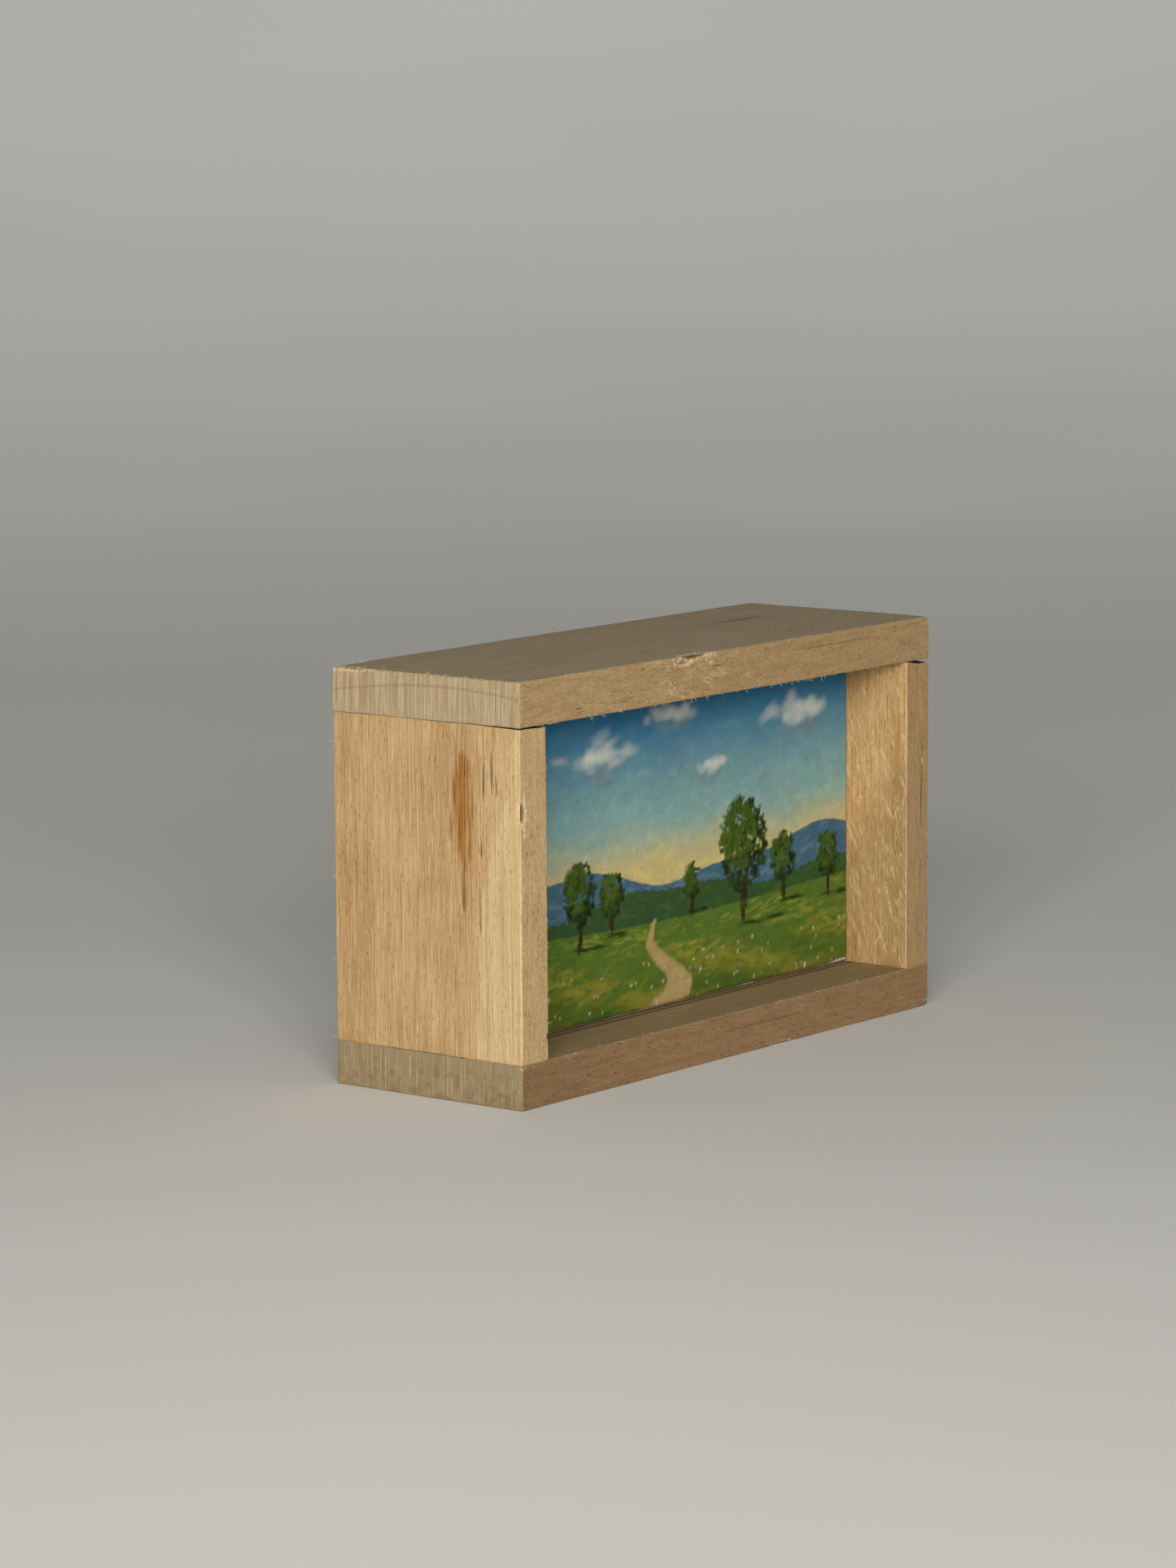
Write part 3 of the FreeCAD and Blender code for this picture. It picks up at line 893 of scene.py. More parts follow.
# -------- Loose fibres on the boards' edges --------
def tapered_hairs(roots, tips, bows, widths, sides=4, rings=6):
    """Many thin closed hairs at once. The middle line of each is root + t (tip - root) +
    4 t (1 - t) bow, and its radius is width sqrt(1 - 0.97 t) (0.35 + 0.65 sqrt(t))."""
    t = np.linspace(0, 1, rings)[None, :, None]
    centre = roots[:, None] + t * (tips - roots)[:, None] + 4 * t * (1 - t) * bows[:, None]
    axis = tips - roots
    axis /= np.linalg.norm(axis, axis=1, keepdims=True)
    one = np.cross(axis, np.array([0.31, 0.77, 0.56]))
    one /= np.linalg.norm(one, axis=1, keepdims=True)
    two = np.cross(axis, one)
    angle = np.linspace(0, 2 * math.pi, sides, endpoint=False)
    ring = one[:, None] * np.cos(angle)[None, :, None] + two[:, None] * np.sin(angle)[None, :, None]
    radius = widths[:, None, None, None] * (np.sqrt(1 - t * 0.97) * (0.35 + 0.65 * np.sqrt(t)))[..., None]
    points = centre[:, :, None] + ring[:, None] * radius
    count = len(roots)
    quads = grid_faces(rings, sides, wrap_columns=True)[:, ::-1]
    starts = (np.arange(count) * rings * sides)[:, None, None]
    walls = (quads[None] + starts).reshape(-1, 4)
    first = np.arange(sides)[None] + starts[:, 0]
    last = first + (rings - 1) * sides
    return points.reshape(-1, 3), [walls, first[:, ::-1], last]


# -------- The strainer --------
def rounded_profile(corners, radius, steps=4):
    """A closed outline through the corners, each rounded by a quadratic curve."""
    corners = np.array(corners, float)
    t = np.linspace(0, 1, steps + 1)[:, None]
    around = zip(np.roll(corners, 1, 0), corners, np.roll(corners, -1, 0))
    return np.concatenate([rounded_corner(*three, radius, t) for three in around])


def make_bar(node, quarter, settings):
    """One strainer bar: its profile (distance from the outer edge, depth) is carried along the
    bar, and at distance d from the outer edge the bar is shorter by d at each end."""
    low, high = node_box(node)
    axis, across = (0, 2) if quarter % 2 == 0 else (2, 0)
    outer = (low, high)[quarter in (1, 2)][across]
    inwards = 1 if quarter in (0, 3) else -1
    width, half = high[across] - low[across], (high[axis] - low[axis]) / 2
    corners = [(0, low[1]), (LIP_WIDTH, low[1]), (width, low[1] + LIP_RELIEF), (width, high[1]), (0, high[1])]
    profile = rounded_profile(corners, settings.edge_radius)
    along = np.linspace(-1, 1, 161)
    reach = half - profile[:, 0] - settings.mitre_gap / 2
    points = np.empty((len(along), len(profile), 3))
    points[..., axis] = (low[axis] + high[axis]) / 2 + along[:, None] * reach[None]
    points[..., across] = outer + inwards * profile[None, :, 0]
    points[..., 1] = profile[None, :, 1]
    middle = np.array([(outer + inwards * width / 2), (low[1] + high[1]) / 2])
    stretch = np.array(stretched(axis, 1 / 7.0, 1 / 0.4, 1 / 0.4)) / MM
    sunk = BAR_ROUGHNESS * (1 - rough_noise(points * stretch, 71 + quarter))
    out = np.stack([points[..., across] - middle[0], points[..., 1] - middle[1]], -1)
    out /= np.linalg.norm(out, axis=-1, keepdims=True)
    points[..., across] -= out[..., 0] * sunk
    points[..., 1] -= out[..., 1] * sunk
    faces = tube_faces(len(along), len(profile))
    if (axis == 0) != (inwards == 1):
        faces = [f[:, ::-1] for f in faces]
    wood = strainer_wood(f"{node}_pine", axis, settings)
    make_piece(f"{node}_wood", points.reshape(-1, 3), faces, wood, None, [node])


# -------- The cloth --------
def unit_grid(columns, rows):
    """Points of a grid over the unit rectangle -1..1."""
    u, v = np.linspace(-1, 1, columns), np.linspace(-1, 1, rows)
    return np.stack(np.meshgrid(u, v, indexing="ij"), -1).reshape(-1, 2)


def rectangle_walk(columns, rows):
    """Points round the unit rectangle -1..1, once, in the order in which a grid of columns by rows
    has them on its edge, and each one's index in that grid."""
    index = np.arange(columns * rows).reshape(columns, rows)
    edge = np.concatenate([index[:-1, 0], index[-1, :-1], index[:0:-1, -1], index[0, :0:-1]])
    return unit_grid(columns, rows)[edge], edge


def rounded_ring(walk, half, inset, radius):
    """A rectangle with rounded corners. A point p of the sharp rectangle, which is inset from the
    full one, has its nearest point q in that rectangle shrunk by r, and moves to
    q + r (p - q) / |p - q|."""
    r = max(radius - inset, 0.02 * MM)
    sharp = walk * (half - inset)
    inner = np.clip(sharp, -(half - inset - r), half - inset - r)
    away = sharp - inner
    return inner + r * away / np.linalg.norm(away, axis=1, keepdims=True)


def make_cloth(settings, paint_film):
    """The canvas: a flat face, whose edge turns over the strainer's lip, runs back along its sides
    and turns again into the flaps that are stapled down. The profile is two quarter circles with
    straight runs between them, carried round the rounded rectangle."""
    low, high = node_box("painted_canvas")
    centre, half = (low + high)[[0, 2]] / 2, (high - low)[[0, 2]] / 2
    front, back, rim = low[1] + paint_film, high[1], settings.rim_radius
    walk, edge = rectangle_walk(CLOTH_COLUMNS, CLOTH_ROWS)
    turn = np.linspace(0, math.pi / 2, 7)
    inset = np.concatenate([
        rim * (1 - np.sin(turn)), np.zeros(12), rim * (1 - np.cos(turn)),
        np.linspace(rim, settings.flap + settings.cloth, 17)[1:],
    ])
    depth = np.concatenate([
        front + rim * (1 - np.cos(turn)), np.linspace(front + rim, back - rim, 14)[1:-1],
        back - rim + rim * np.sin(turn), np.full(16, back),
    ])
    steps = np.hypot(np.diff(inset), np.diff(depth))
    run = np.concatenate([[0], np.cumsum(steps)])
    rings = np.stack([rounded_ring(walk, half, i, settings.corner_radius) for i in inset])
    face = unit_grid(CLOTH_COLUMNS, CLOTH_ROWS) * (half - rim)
    points = np.empty((len(face) + (len(inset) - 1) * len(walk), 3))
    points[: len(face), [0, 2]] = face
    points[: len(face), 1] = front
    points[len(face) :, [0, 2]] = rings[1:].reshape(-1, 2)
    points[len(face) :, 1] = np.repeat(depth[1:], len(walk))
    flat = points[:, [0, 2]].copy()
    flat[len(face) :] = (walk[None] * (half - rim) + rings_outward(walk) * run[1:, None, None]).reshape(-1, 2)
    relief_on_cloth(points, len(face), walk, inset, depth, half, settings)
    points[:, [0, 2]] += centre
    strips = grid_faces(len(inset), len(walk), wrap_columns=True)
    lookup = np.concatenate([edge, np.arange(len(face), len(points))])
    faces = [grid_faces(CLOTH_COLUMNS, CLOTH_ROWS), lookup[strips]]
    primed, raw = primed_cloth(settings), raw_cloth(settings)
    cloth = make_piece("canvas_cloth", points, faces, primed, None, ["painted_canvas"])
    cloth.data.materials.append(raw)
    uv = cloth.data.uv_layers.new(name="flat_cloth")
    corners = np.concatenate([f.ravel() for f in faces])
    uv.data.foreach_set("uv", flat[corners].astype(np.float32).ravel())
    wall = cloth.modifiers.new("Cloth thickness", "SOLIDIFY")
    wall.thickness = settings.cloth
    wall.offset = -1
    wall.material_offset = 1
    wall.material_offset_rim = 1
    return cloth


def rings_outward(walk):
    """Direction out of the unit rectangle at each point of its edge."""
    return np.where(np.abs(walk) > 0.9999, np.sign(walk), 0.0)[None]


def relief_on_cloth(points, face_count, walk, inset, depth, half, settings):
    """Moves the cloth a little: it bags between the staples on the flaps, lies double at the folded
    corners, and its turned edge is uneven."""
    ring = points[face_count:].reshape(len(inset) - 1, len(walk), 3)
    flap = ease(inset[1:], settings.rim_radius, 2.5 * settings.rim_radius) * (depth[1:] == depth[-1])
    place = walk * half / MM
    bag = 0.10 * (1 + flat_noise(*(place * 0.35).T, 91))
    from_corner = (half / MM - np.abs(place)).max(axis=1)
    long_side = (half / MM - np.abs(place)).argmin(axis=1) == 1
    reach = 7.5 - 0.55 * inset[1:, None] / MM
    doubled = ease(reach - from_corner[None], 0, 0.5) * long_side[None]
    lift = flap[:, None] * (bag[None] * ease(inset[1:] / MM, 1, 4)[:, None] * 0.6 + 0.30 * doubled)
    ring[..., 1] += lift * MM
    side = (np.abs(inset[1:]) < 1e-9)[:, None]
    ripple = 0.05 * MM * smooth_noise(ring * [300.0, 120.0, 300.0], 93)
    shrink = 1 - side * (0.06 * MM + ripple) / half.min()
    ring[..., [0, 2]] *= shrink[..., None]
    points[face_count:] = ring.reshape(-1, 3)


# -------- The painting --------
class Picture:
    """Paint laid on a grid: a colour and a height for every point. x and z are in millimetres from
    the lower left corner of the painted face. draw is the painter's hand: a seeded generator."""

    def __init__(self, x, z, hand):
        self.x, self.z = x, z
        self.u, self.v = np.meshgrid(x, z, indexing="ij")
        self.rgb = np.zeros((len(x), len(z), 3))
        self.height = np.zeros((len(x), len(z)))
        self.draw = np.random.default_rng(hand)
        self.strokes = 0

    def dab(self, at, reach, turn, colour, cover, body=0.3, vary=0.07, soft=False):
        """One brush mark. With s along and t across it in -1..1, it covers
        (1 - s^6)(1 - t^4), or ((1 - s^2)(1 - t^2))^1.5 where it is soft, cut into bristle tracks by
        noise in (s, t). Its colour varies a little from mark to mark."""
        change = self.draw.normal(0, vary, 3) + self.draw.normal(0, vary)
        colour = np.clip(np.array(colour) * (1 + change), 0, 1)
        self.strokes += 1
        size = max(reach)
        i = slice(*np.searchsorted(self.x, [at[0] - size, at[0] + size]))
        k = slice(*np.searchsorted(self.z, [at[1] - size, at[1] + size]))
        if i.start == i.stop or k.start == k.stop:
            return
        dx, dz = self.u[i, k] - at[0], self.v[i, k] - at[1]
        s = (dx * math.cos(turn) + dz * math.sin(turn)) / reach[0]
        t = (dz * math.cos(turn) - dx * math.sin(turn)) / reach[1]
        tracks = flat_noise(s * 1.3, t * 3.5, self.strokes)
        along, across = np.clip(1 - s**2, 0, 1), np.clip(1 - t**2, 0, 1)
        if soft:
            hold = along**1.5 * across**1.5 * (1 + 0.25 * tracks)
        else:
            hold = (1 - (1 - along) ** 3) * (1 - (1 - across) ** 2) * (1.1 + 0.5 * tracks)
        hold = np.clip(hold, 0, 1)
        self.rgb[i, k] += (cover * hold)[..., None] * (colour - self.rgb[i, k])
        self.height[i, k] += body * hold * (0.8 + 0.5 * tracks - self.height[i, k])

    def wash(self, share, colour, height=0.5):
        """Lays one colour over the whole grid, by a share from 0 to 1 at each point."""
        self.rgb += share[..., None] * (np.array(colour) - self.rgb)
        self.height += share * (height - self.height) * 0.8

    def grain(self, across, upward, seed):
        """Noise over the grid with the given number of blotches per millimetre."""
        return flat_noise(self.u * across, self.v * upward, seed, rough_noise)


# Each tree: its middle, foot, top and half width, in millimetres on the painted face.
TREES = (
    (17.5, 9.6, 20.6, 3.3), (23.8, 10.6, 18.4, 2.5), (40.2, 11.4, 17.4, 1.8), (51.0, 8.4, 24.8, 5.2),
    (59.6, 10.4, 19.2, 2.7), (69.4, 9.8, 18.0, 2.4),
)
# Each cloud: its middle across and up, and its half width.
CLOUDS = ((21.0, 31.5, 6.5), (36.0, 35.8, 5.0), (44.0, 28.6, 4.0), (63.5, 33.2, 7.0))


def between(first, second, share):
    """The colour a share of the way from the first colour to the second."""
    first, second = np.array(first), np.array(second)
    return first + np.asarray(share)[..., None] * (second - first)


def far_ridge(x):
    """Upper edge of the far hills: a level line with two slow waves."""
    return 17.4 + 1.5 * np.sin(x * 0.11 + 0.4) + 0.6 * np.sin(x * 0.27 + 2.0)


def near_ridge(x):
    """Upper edge of the wooded hills: a level line with two slow waves and small round tops."""
    return 14.2 + 0.9 * np.sin(x * 0.13 + 3.6) + 0.4 * np.sin(x * 0.31) + 0.25 * np.abs(np.sin(x * 1.9))


def meadow_edge(x):
    """Upper edge of the meadow: one slow wave."""
    return 11.6 + 0.6 * np.sin(x * 0.07 + 2.2)


def sky_colour(z, s):
    """Warm low down, pale halfway up and blue overhead, each fading into the next."""
    return between(between(s.horizon, s.sky_pale, ease(z, 16, 25)), s.sky_blue, ease(z, 22, 39))


def paint_scene(picture, s):
    """Paints hills, a meadow with a path, and a few trees, from back to front."""
    paint_sky(picture, s)
    paint_hills(picture, s)
    paint_meadow(picture, s)
    plant_trees(picture, s)


def paint_sky(picture, s):
    """Level strokes over the fading sky, then clouds: shaded strokes below and lit ones above."""
    draw = picture.draw
    picture.rgb[:] = sky_colour(picture.v + 1.5 * picture.grain(0.12, 0.2, 71), s)
    picture.height[:] = 0.25
    for _ in range(560):
        at = (draw.uniform(-1, picture.x[-1] + 1), draw.uniform(14, picture.z[-1] + 1))
        reach = (draw.uniform(1.8, 5.0), draw.uniform(0.5, 1.3))
        colour = sky_colour(np.array(at[1] + draw.normal(0, 1.2)), s)
        picture.dab(at, reach, draw.normal(0.08, 0.2), colour, 0.36, 0.3, 0.06, soft=True)
    for x, z, half in CLOUDS:
        for k in range(34):
            lit = k >= 12
            middle = z + 0.3 * half * (lit - 0.4)
            at = (x + draw.normal(0, half * 0.45), middle + draw.normal(0, half * 0.10))
            reach = (half * draw.uniform(0.18, 0.42), half * draw.uniform(0.10, 0.20))
            colour = s.cloud if lit else s.cloud_shade
            picture.dab(at, reach, draw.normal(0.1, 0.25), colour, 0.42, 0.5, 0.05, soft=True)


def paint_hills(picture, s):
    """Two ranges, each a flat colour up to its ridge with short strokes that follow the slope."""
    draw = picture.draw
    ranges = ((far_ridge, s.far_hill, s.sky_pale, 160), (near_ridge, s.near_hill, s.meadow, 220))
    for ridge, colour, lighter, count in ranges:
        frayed = 0.12 * picture.grain(1.2, 1.2, count)
        picture.wash(ease(ridge(picture.u) + frayed - picture.v, 0, 0.2), colour, 0.4)
        for _ in range(count):
            x = draw.uniform(0, picture.x[-1])
            at = (x, ridge(x) - draw.uniform(0.3, 4.5))
            mixed = between(colour, lighter, draw.uniform(0, 0.4))
            reach = (draw.uniform(0.6, 1.8), draw.uniform(0.2, 0.45))
            picture.dab(at, reach, draw.normal(0, 0.3), mixed, 0.5, 0.5)


def paint_meadow(picture, s):
    """Grass strokes that grow longer towards the front, a winding path that widens, and flowers."""
    draw = picture.draw
    frayed = 0.10 * picture.grain(1.0, 1.0, 81)
    picture.wash(ease(meadow_edge(picture.u) + frayed - picture.v, 0, 0.2), s.meadow, 0.4)
    for _ in range(900):
        x, share = draw.uniform(-1, picture.x[-1] + 1), draw.random()
        z = meadow_edge(x) * share - 0.3
        light = np.clip(0.45 + 0.5 * math.sin(x * 0.21 + z * 0.9) + draw.normal(0, 0.2), 0, 1)
        reach = (draw.uniform(0.8, 2.4) * (1.5 - share), draw.uniform(0.15, 0.4) * (1.5 - share))
        colour = between(s.meadow, s.meadow_light, light) * (0.7 + 0.35 * share)
        picture.dab((x, z), reach, draw.normal(0.05, 0.2), colour, 0.5, 0.55)
    for share in np.linspace(0, 1, 90):
        wide = 3.4 * (1 - share) ** 1.4 + 0.35
        at = (33 + 5.5 * math.sin(share * 5.2) * (1.1 - share) + draw.normal(0, 0.15), 11.4 * share - 0.2)
        picture.dab(at, (wide, 0.45 * wide**0.4), draw.normal(0, 0.06), s.path, 0.42, 0.5, 0.08)
    for _ in range(70):
        at = (draw.uniform(0, picture.x[-1]), draw.uniform(0.5, 6.5))
        flower = s.cloud if draw.random() < 0.5 else s.horizon
        picture.dab(at, (0.24, 0.18), draw.uniform(0, 3), flower, 0.7, 0.9)


def plant_trees(picture, s):
    """Each tree: a shadow to its right, an upright trunk, dark leaves all over an oval crown and
    lighter ones towards its upper left."""
    draw = picture.draw
    for middle, foot, top, half in TREES:
        crown_low = foot + 0.22 * (top - foot)
        centre, tall = (crown_low + top) / 2, (top - crown_low) / 2
        for _ in range(14):
            at = (middle + draw.uniform(-0.3, 1.5) * half, foot - 0.2 + draw.normal(0, 0.16))
            picture.dab(at, (0.5 * half, 0.28), draw.normal(-0.05, 0.06), s.leaf_dark, 0.4, 0.3, soft=True)
        for _ in range(10):
            at = (middle + draw.normal(0, 0.06 * half), draw.uniform(foot, crown_low + 0.4 * tall))
            picture.dab(at, (0.9, 0.09 * half), draw.normal(1.57, 0.06), s.bark, 0.8, 0.7)
        leaves = int(17 * half * tall)
        for k in range(leaves):
            lit = k > 0.6 * leaves
            turn, out = draw.uniform(0, 2 * math.pi), math.sqrt(draw.random()) * (0.7 if lit else 0.92)
            lean = 0.22 if lit else 0.0
            aside, above = out * math.cos(turn) - lean, out * math.sin(turn) + lean
            at = (middle + half * aside, centre + tall * above)
            light = draw.uniform(0.45, 1.1) if lit else draw.uniform(0, 0.35)
            colour = between(s.leaf_dark, s.leaf_light, light)
            reach = (draw.uniform(0.35, 0.85), draw.uniform(0.2, 0.42))
            picture.dab(at, reach, draw.uniform(0, 3), colour, 0.62 if lit else 0.85, 0.85)


def bare_edge(u, v, width):
    """How far the paint stops short of the face's outline, in millimetres: an uneven line that
    leaves the priming bare at the lower right corner and at one spot of the lower edge."""
    bare = 0.12 + 0.13 * flat_noise(u * 0.5, v * 0.5, 61)
    bare = bare + 0.75 * np.exp(-((width - u - 1.5) ** 2 / 6 + v**2 / 0.6))
    return bare + 0.30 * np.exp(-((u - 52) ** 2 / 3 + v**2 / 0.3))


def make_paint(settings):
    """The paint as a thin closed skin. Its front is a grid at the film's thickness plus the height
    of the brush marks; at the edge it thins out along an uneven line, turns back with the cloth and
    closes on a flat back that is sunk a little into the cloth."""
    low, high = node_box("painted_canvas")
    size = (high - low)[[0, 2]] / MM
    x = np.linspace(0, size[0], 380)
    # The rows are closest where the trees stand.
    z = np.concatenate([
        np.linspace(0, 8.6, 36)[:-1], np.linspace(8.6, 22.6, 112)[:-1], np.linspace(22.6, size[1], 62)
    ])
    picture = Picture(x, z, 2)
    paint_scene(picture, settings)
    u, v = picture.u, picture.v
    near_edge = np.minimum(np.minimum(u, size[0] - u), np.minimum(v, size[1] - v))
    covered = near_edge - bare_edge(u, v, size[0])
    film = ease(covered, 0, 0.5) * (settings.film + settings.relief * np.clip(picture.height, 0, 1.3))
    cloth_face = low[1] + settings.film + 0.035 * MM
    turned_back = 0.45 * MM * np.clip(1 - near_edge / 0.8, 0, 1) ** 2.5
    points = np.stack([low[0] + u * MM, cloth_face - film + turned_back, low[2] + v * MM], -1)

    def keep_inside(points, inset):
        for axis in (0, 2):
            points[..., axis] = np.clip(points[..., axis], low[axis] + inset, high[axis] - inset)

    keep_inside(points, PAINT_INSET)
    primer = np.array(bpy.context.scene.boxed_canvas.priming)
    colours = picture.rgb.reshape(-1, 3)
    colours = colours + (1 - ease(covered, -0.12, 0.10)).reshape(-1, 1) * (primer - colours)
    flat = points.reshape(-1, 3)
    _, edge = rectangle_walk(len(x), len(z))
    rim = flat[edge] + np.array([0, 0.12 * MM, 0])
    sunk = rim.copy()
    keep_inside(sunk, PAINT_INSET + PAINT_LAP)
    sunk[:, 1] = cloth_face + 0.05 * MM
    count = len(edge)
    rings = np.concatenate([edge, len(flat) + np.arange(2 * count)])
    walls = rings[grid_faces(3, count, wrap_columns=True)]
    make_piece(
        "paint_film", np.concatenate([flat, rim, sunk]),
        [grid_faces(len(x), len(z)), walls, rings[None, : -count - 1 : -1]],
        paint_finish("satin_paint"),
        {"paint": np.concatenate([colours, colours[edge], colours[edge]])},
    )


# -------- Staples, V-nails and glue --------
def bent_wire(corners, radius, bend, sides=10, bend_steps=6):
    """A closed round wire through the given corners, all in one plane, with each inner corner
    rounded by a quadratic curve. Rings stand across the path, and both ends are capped."""
    corners = np.array(corners, float)
    path = [corners[:1]]
    t = np.linspace(0, 1, bend_steps + 1)[:, None]
    for three in zip(corners[:-2], corners[1:-1], corners[2:]):
        path.append(rounded_corner(*three, bend, t))
    path = np.concatenate([*path, corners[-1:]])
    ahead = np.gradient(path, axis=0)
    ahead /= np.linalg.norm(ahead, axis=1, keepdims=True)
    plane = np.cross(corners[0] - corners[1], corners[2] - corners[1])
    plane /= np.linalg.norm(plane)
    across = np.cross(ahead, plane)
    angle = np.linspace(0, 2 * math.pi, sides, endpoint=False)[None, :, None]
    points = path[:, None] + radius * (np.cos(angle) * across[:, None] + np.sin(angle) * plane[None, None])
    return points.reshape(-1, 3), tube_faces(len(path), sides)


def joined(parts):
    """One set of points and faces from several."""
    points, faces, count = [], [], 0
    for some_points, some_faces in parts:
        points.append(some_points)
        faces += [f + count for f in some_faces]
        count += len(some_points)
    return np.concatenate(points), faces


def loose_parts(node):
    """Low and high corner of every separate solid of a node. Every point starts with a label of its
    own, and both ends of each edge take the lower label until nothing changes."""
    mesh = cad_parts[node].data
    co = np.empty(len(mesh.vertices) * 3)
    mesh.vertices.foreach_get("co", co)
    co = co.reshape(-1, 3)
    keys, where = np.unique(np.round(co / SAME_PLACE).astype(np.int64), axis=0, return_inverse=True)
    where = where.ravel()
    label = np.arange(len(keys))
    edges = np.empty(len(mesh.edges) * 2, np.int32)
    mesh.edges.foreach_get("vertices", edges)
    edges = where[edges].reshape(-1, 2)
    for _ in range(len(keys)):
        lowest = label.copy()
        np.minimum.at(lowest, edges[:, 0], label[edges[:, 1]])
        np.minimum.at(lowest, edges[:, 1], label[edges[:, 0]])
        if (lowest == label).all():
            break
        label = lowest
    return [(co[label[where] == part].min(0), co[label[where] == part].max(0)) for part in np.unique(label)]


def make_staples(settings):
    """Every staple: a crown on the flap and two legs into the bar, a little askew."""
    draw = np.random.default_rng(8)
    radius, parts = settings.wire_radius, []
    for low, high in loose_parts("canvas_staples"):
        centre, size = (low + high) / 2, high - low
        long_axis = 0 if size[0] > size[2] else 2
        direction = np.zeros(3)
        direction[long_axis] = 1
        other = np.array([direction[2], 0, direction[0]])
        askew = draw.uniform(-STAPLE_SWING, STAPLE_SWING)
        direction = direction * math.cos(askew) + other * math.sin(askew)
        half = size[long_axis] / 2 - radius
        crown_y, tip_y = high[1] - radius - 0.05 * MM, low[1] + 0.2 * MM
        one, two = centre - direction * half, centre + direction * half
        along = ((one, tip_y), (one, crown_y), (two, crown_y), (two, tip_y))
        corners = [(end[0], y, end[2]) for end, y in along]
        parts.append(bent_wire(corners, radius, STAPLE_BEND))
    points, faces = joined(parts)
    steel = wire_steel("staple_wire", settings.steel, 0.28)
    make_piece("staple_wires", points, faces, steel, None, ["canvas_staples"])


def glue_bead(low, high, axis, wall, seed):
    """A bead of glue lying in a corner. Along it the leg length is
    L (1 - s^4)^0.5 (1 + noise), and across it the surface runs from the board to the canvas as
    the curve (cos a, sin a)^1.35, a little hollow; the two legs close it."""
    s = np.linspace(-1, 1, 61)
    a = np.linspace(0, math.pi / 2, 11)
    leg = (high[1] - low[1]) * np.clip(1 - s**4, 0, 1) ** 0.5
    leg = leg * (0.86 + 0.14 * flat_noise(s * 1.9, s * 0, seed)) + 1e-6
    out = np.concatenate([np.cos(a) ** 1.35, [0.0, 0.0, 0.5]])
    up = np.concatenate([np.sin(a) ** 1.35, [0.5, 0.0, 0.0]])
    other = 2 - axis
    points = np.empty((len(s), len(out), 3))
    middle, half = (low[axis] + high[axis]) / 2, (high[axis] - low[axis]) / 2
    points[..., axis] = middle + half * s[:, None]
    start = (low, high)[wall > 0][other]
    points[..., other] = start - wall * leg[:, None] * out[None]
    points[..., 1] = low[1] + leg[:, None] * up[None]
    faces = tube_faces(len(s), len(out))
    if (wall > 0) == (axis == 0):
        faces = [f[:, ::-1] for f in faces]
    return points.reshape(-1, 3), faces


def make_glue(settings):
    """The beads of glue between the canvas and the boards."""
    parts = []
    middle = np.array(sum(node_box("painted_canvas"))) / 2
    for k, (low, high) in enumerate(loose_parts("glue_beads")):
        axis = 0 if high[0] - low[0] > high[2] - low[2] else 2
        wall = 1 if (low + high)[2 - axis] / 2 > middle[2 - axis] else -1
        parts.append(glue_bead(low, high, axis, wall, 100 + k))
    points, faces = joined(parts)
    make_piece("glue_runs", points, faces, dried_glue(settings), None, ["glue_beads"])


def make_fibres(settings):
    """Loose pale fibres that stand up along the boards' front and back edges."""
    draw = np.random.default_rng(14)
    (left, front, under), (right, back, top) = node_box("top_board")
    base_top = node_box("bottom_board")[1][2]
    # Each row: how many, from where to where, and which way they lean.
    rows = [
        (60, (left + 2 * MM, front, under), (right - 8 * MM, front, under), (0.3, -0.5, -0.6)),
        (34, (left + 26 * MM, front, under + 2 * MM), (left + 52 * MM, front, under + 4 * MM),
         (0.2, -0.5, 0.6)),
        (30, (left, back, top), (right, back, top), (0.5, 0.4, 0.6)),
        (34, (left, front + 6 * MM, top), (left, back, top), (-0.4, 0.3, 0.7)),
        (16, (left, back, base_top), (left, back, under), (-0.6, 0.5, 0.2)),
        (40, (left, front, base_top), (right, front, base_top), (0.6, -0.5, 0.3)),
        (14, (left + 4.9 * MM, front, base_top), (left + 5 * MM, front, under), (0.6, -0.3, 0.4)),
    ]
    roots, tips, bows, widths = [], [], [], []
    for count, start, end, lean in rows:
        t = draw.random((count, 1))
        root = np.array(start) + t * (np.array(end) - np.array(start)) + draw.normal(0, 0.05 * MM, (count, 3))
        way = np.array(lean) + draw.normal(0, 0.55, (count, 3))
        way /= np.linalg.norm(way, axis=1, keepdims=True)
        reach = draw.uniform(0.15, 0.75, (count, 1)) ** 1.5 * MM
        roots.append(root - way * 0.15 * MM)
        tips.append(root + way * reach)
        bows.append(draw.normal(0, 0.06 * MM, (count, 3)))
        widths.append(draw.uniform(0.018, 0.04, count) * MM)
    points, faces = tapered_hairs(*(np.concatenate(part) for part in (roots, tips, bows, widths)))
    look = Finish("loose_fibre")
    shade = look.noise((0.6, 0.6, 0.6), detail=2)
    colour = look.mix(look.range(shade, 0.35, 0.65), settings.fibre_and_highlight, settings.sapwood)
    make_piece("loose_fibres", points, faces, look.finish(Base_Color=colour, Roughness=0.8))


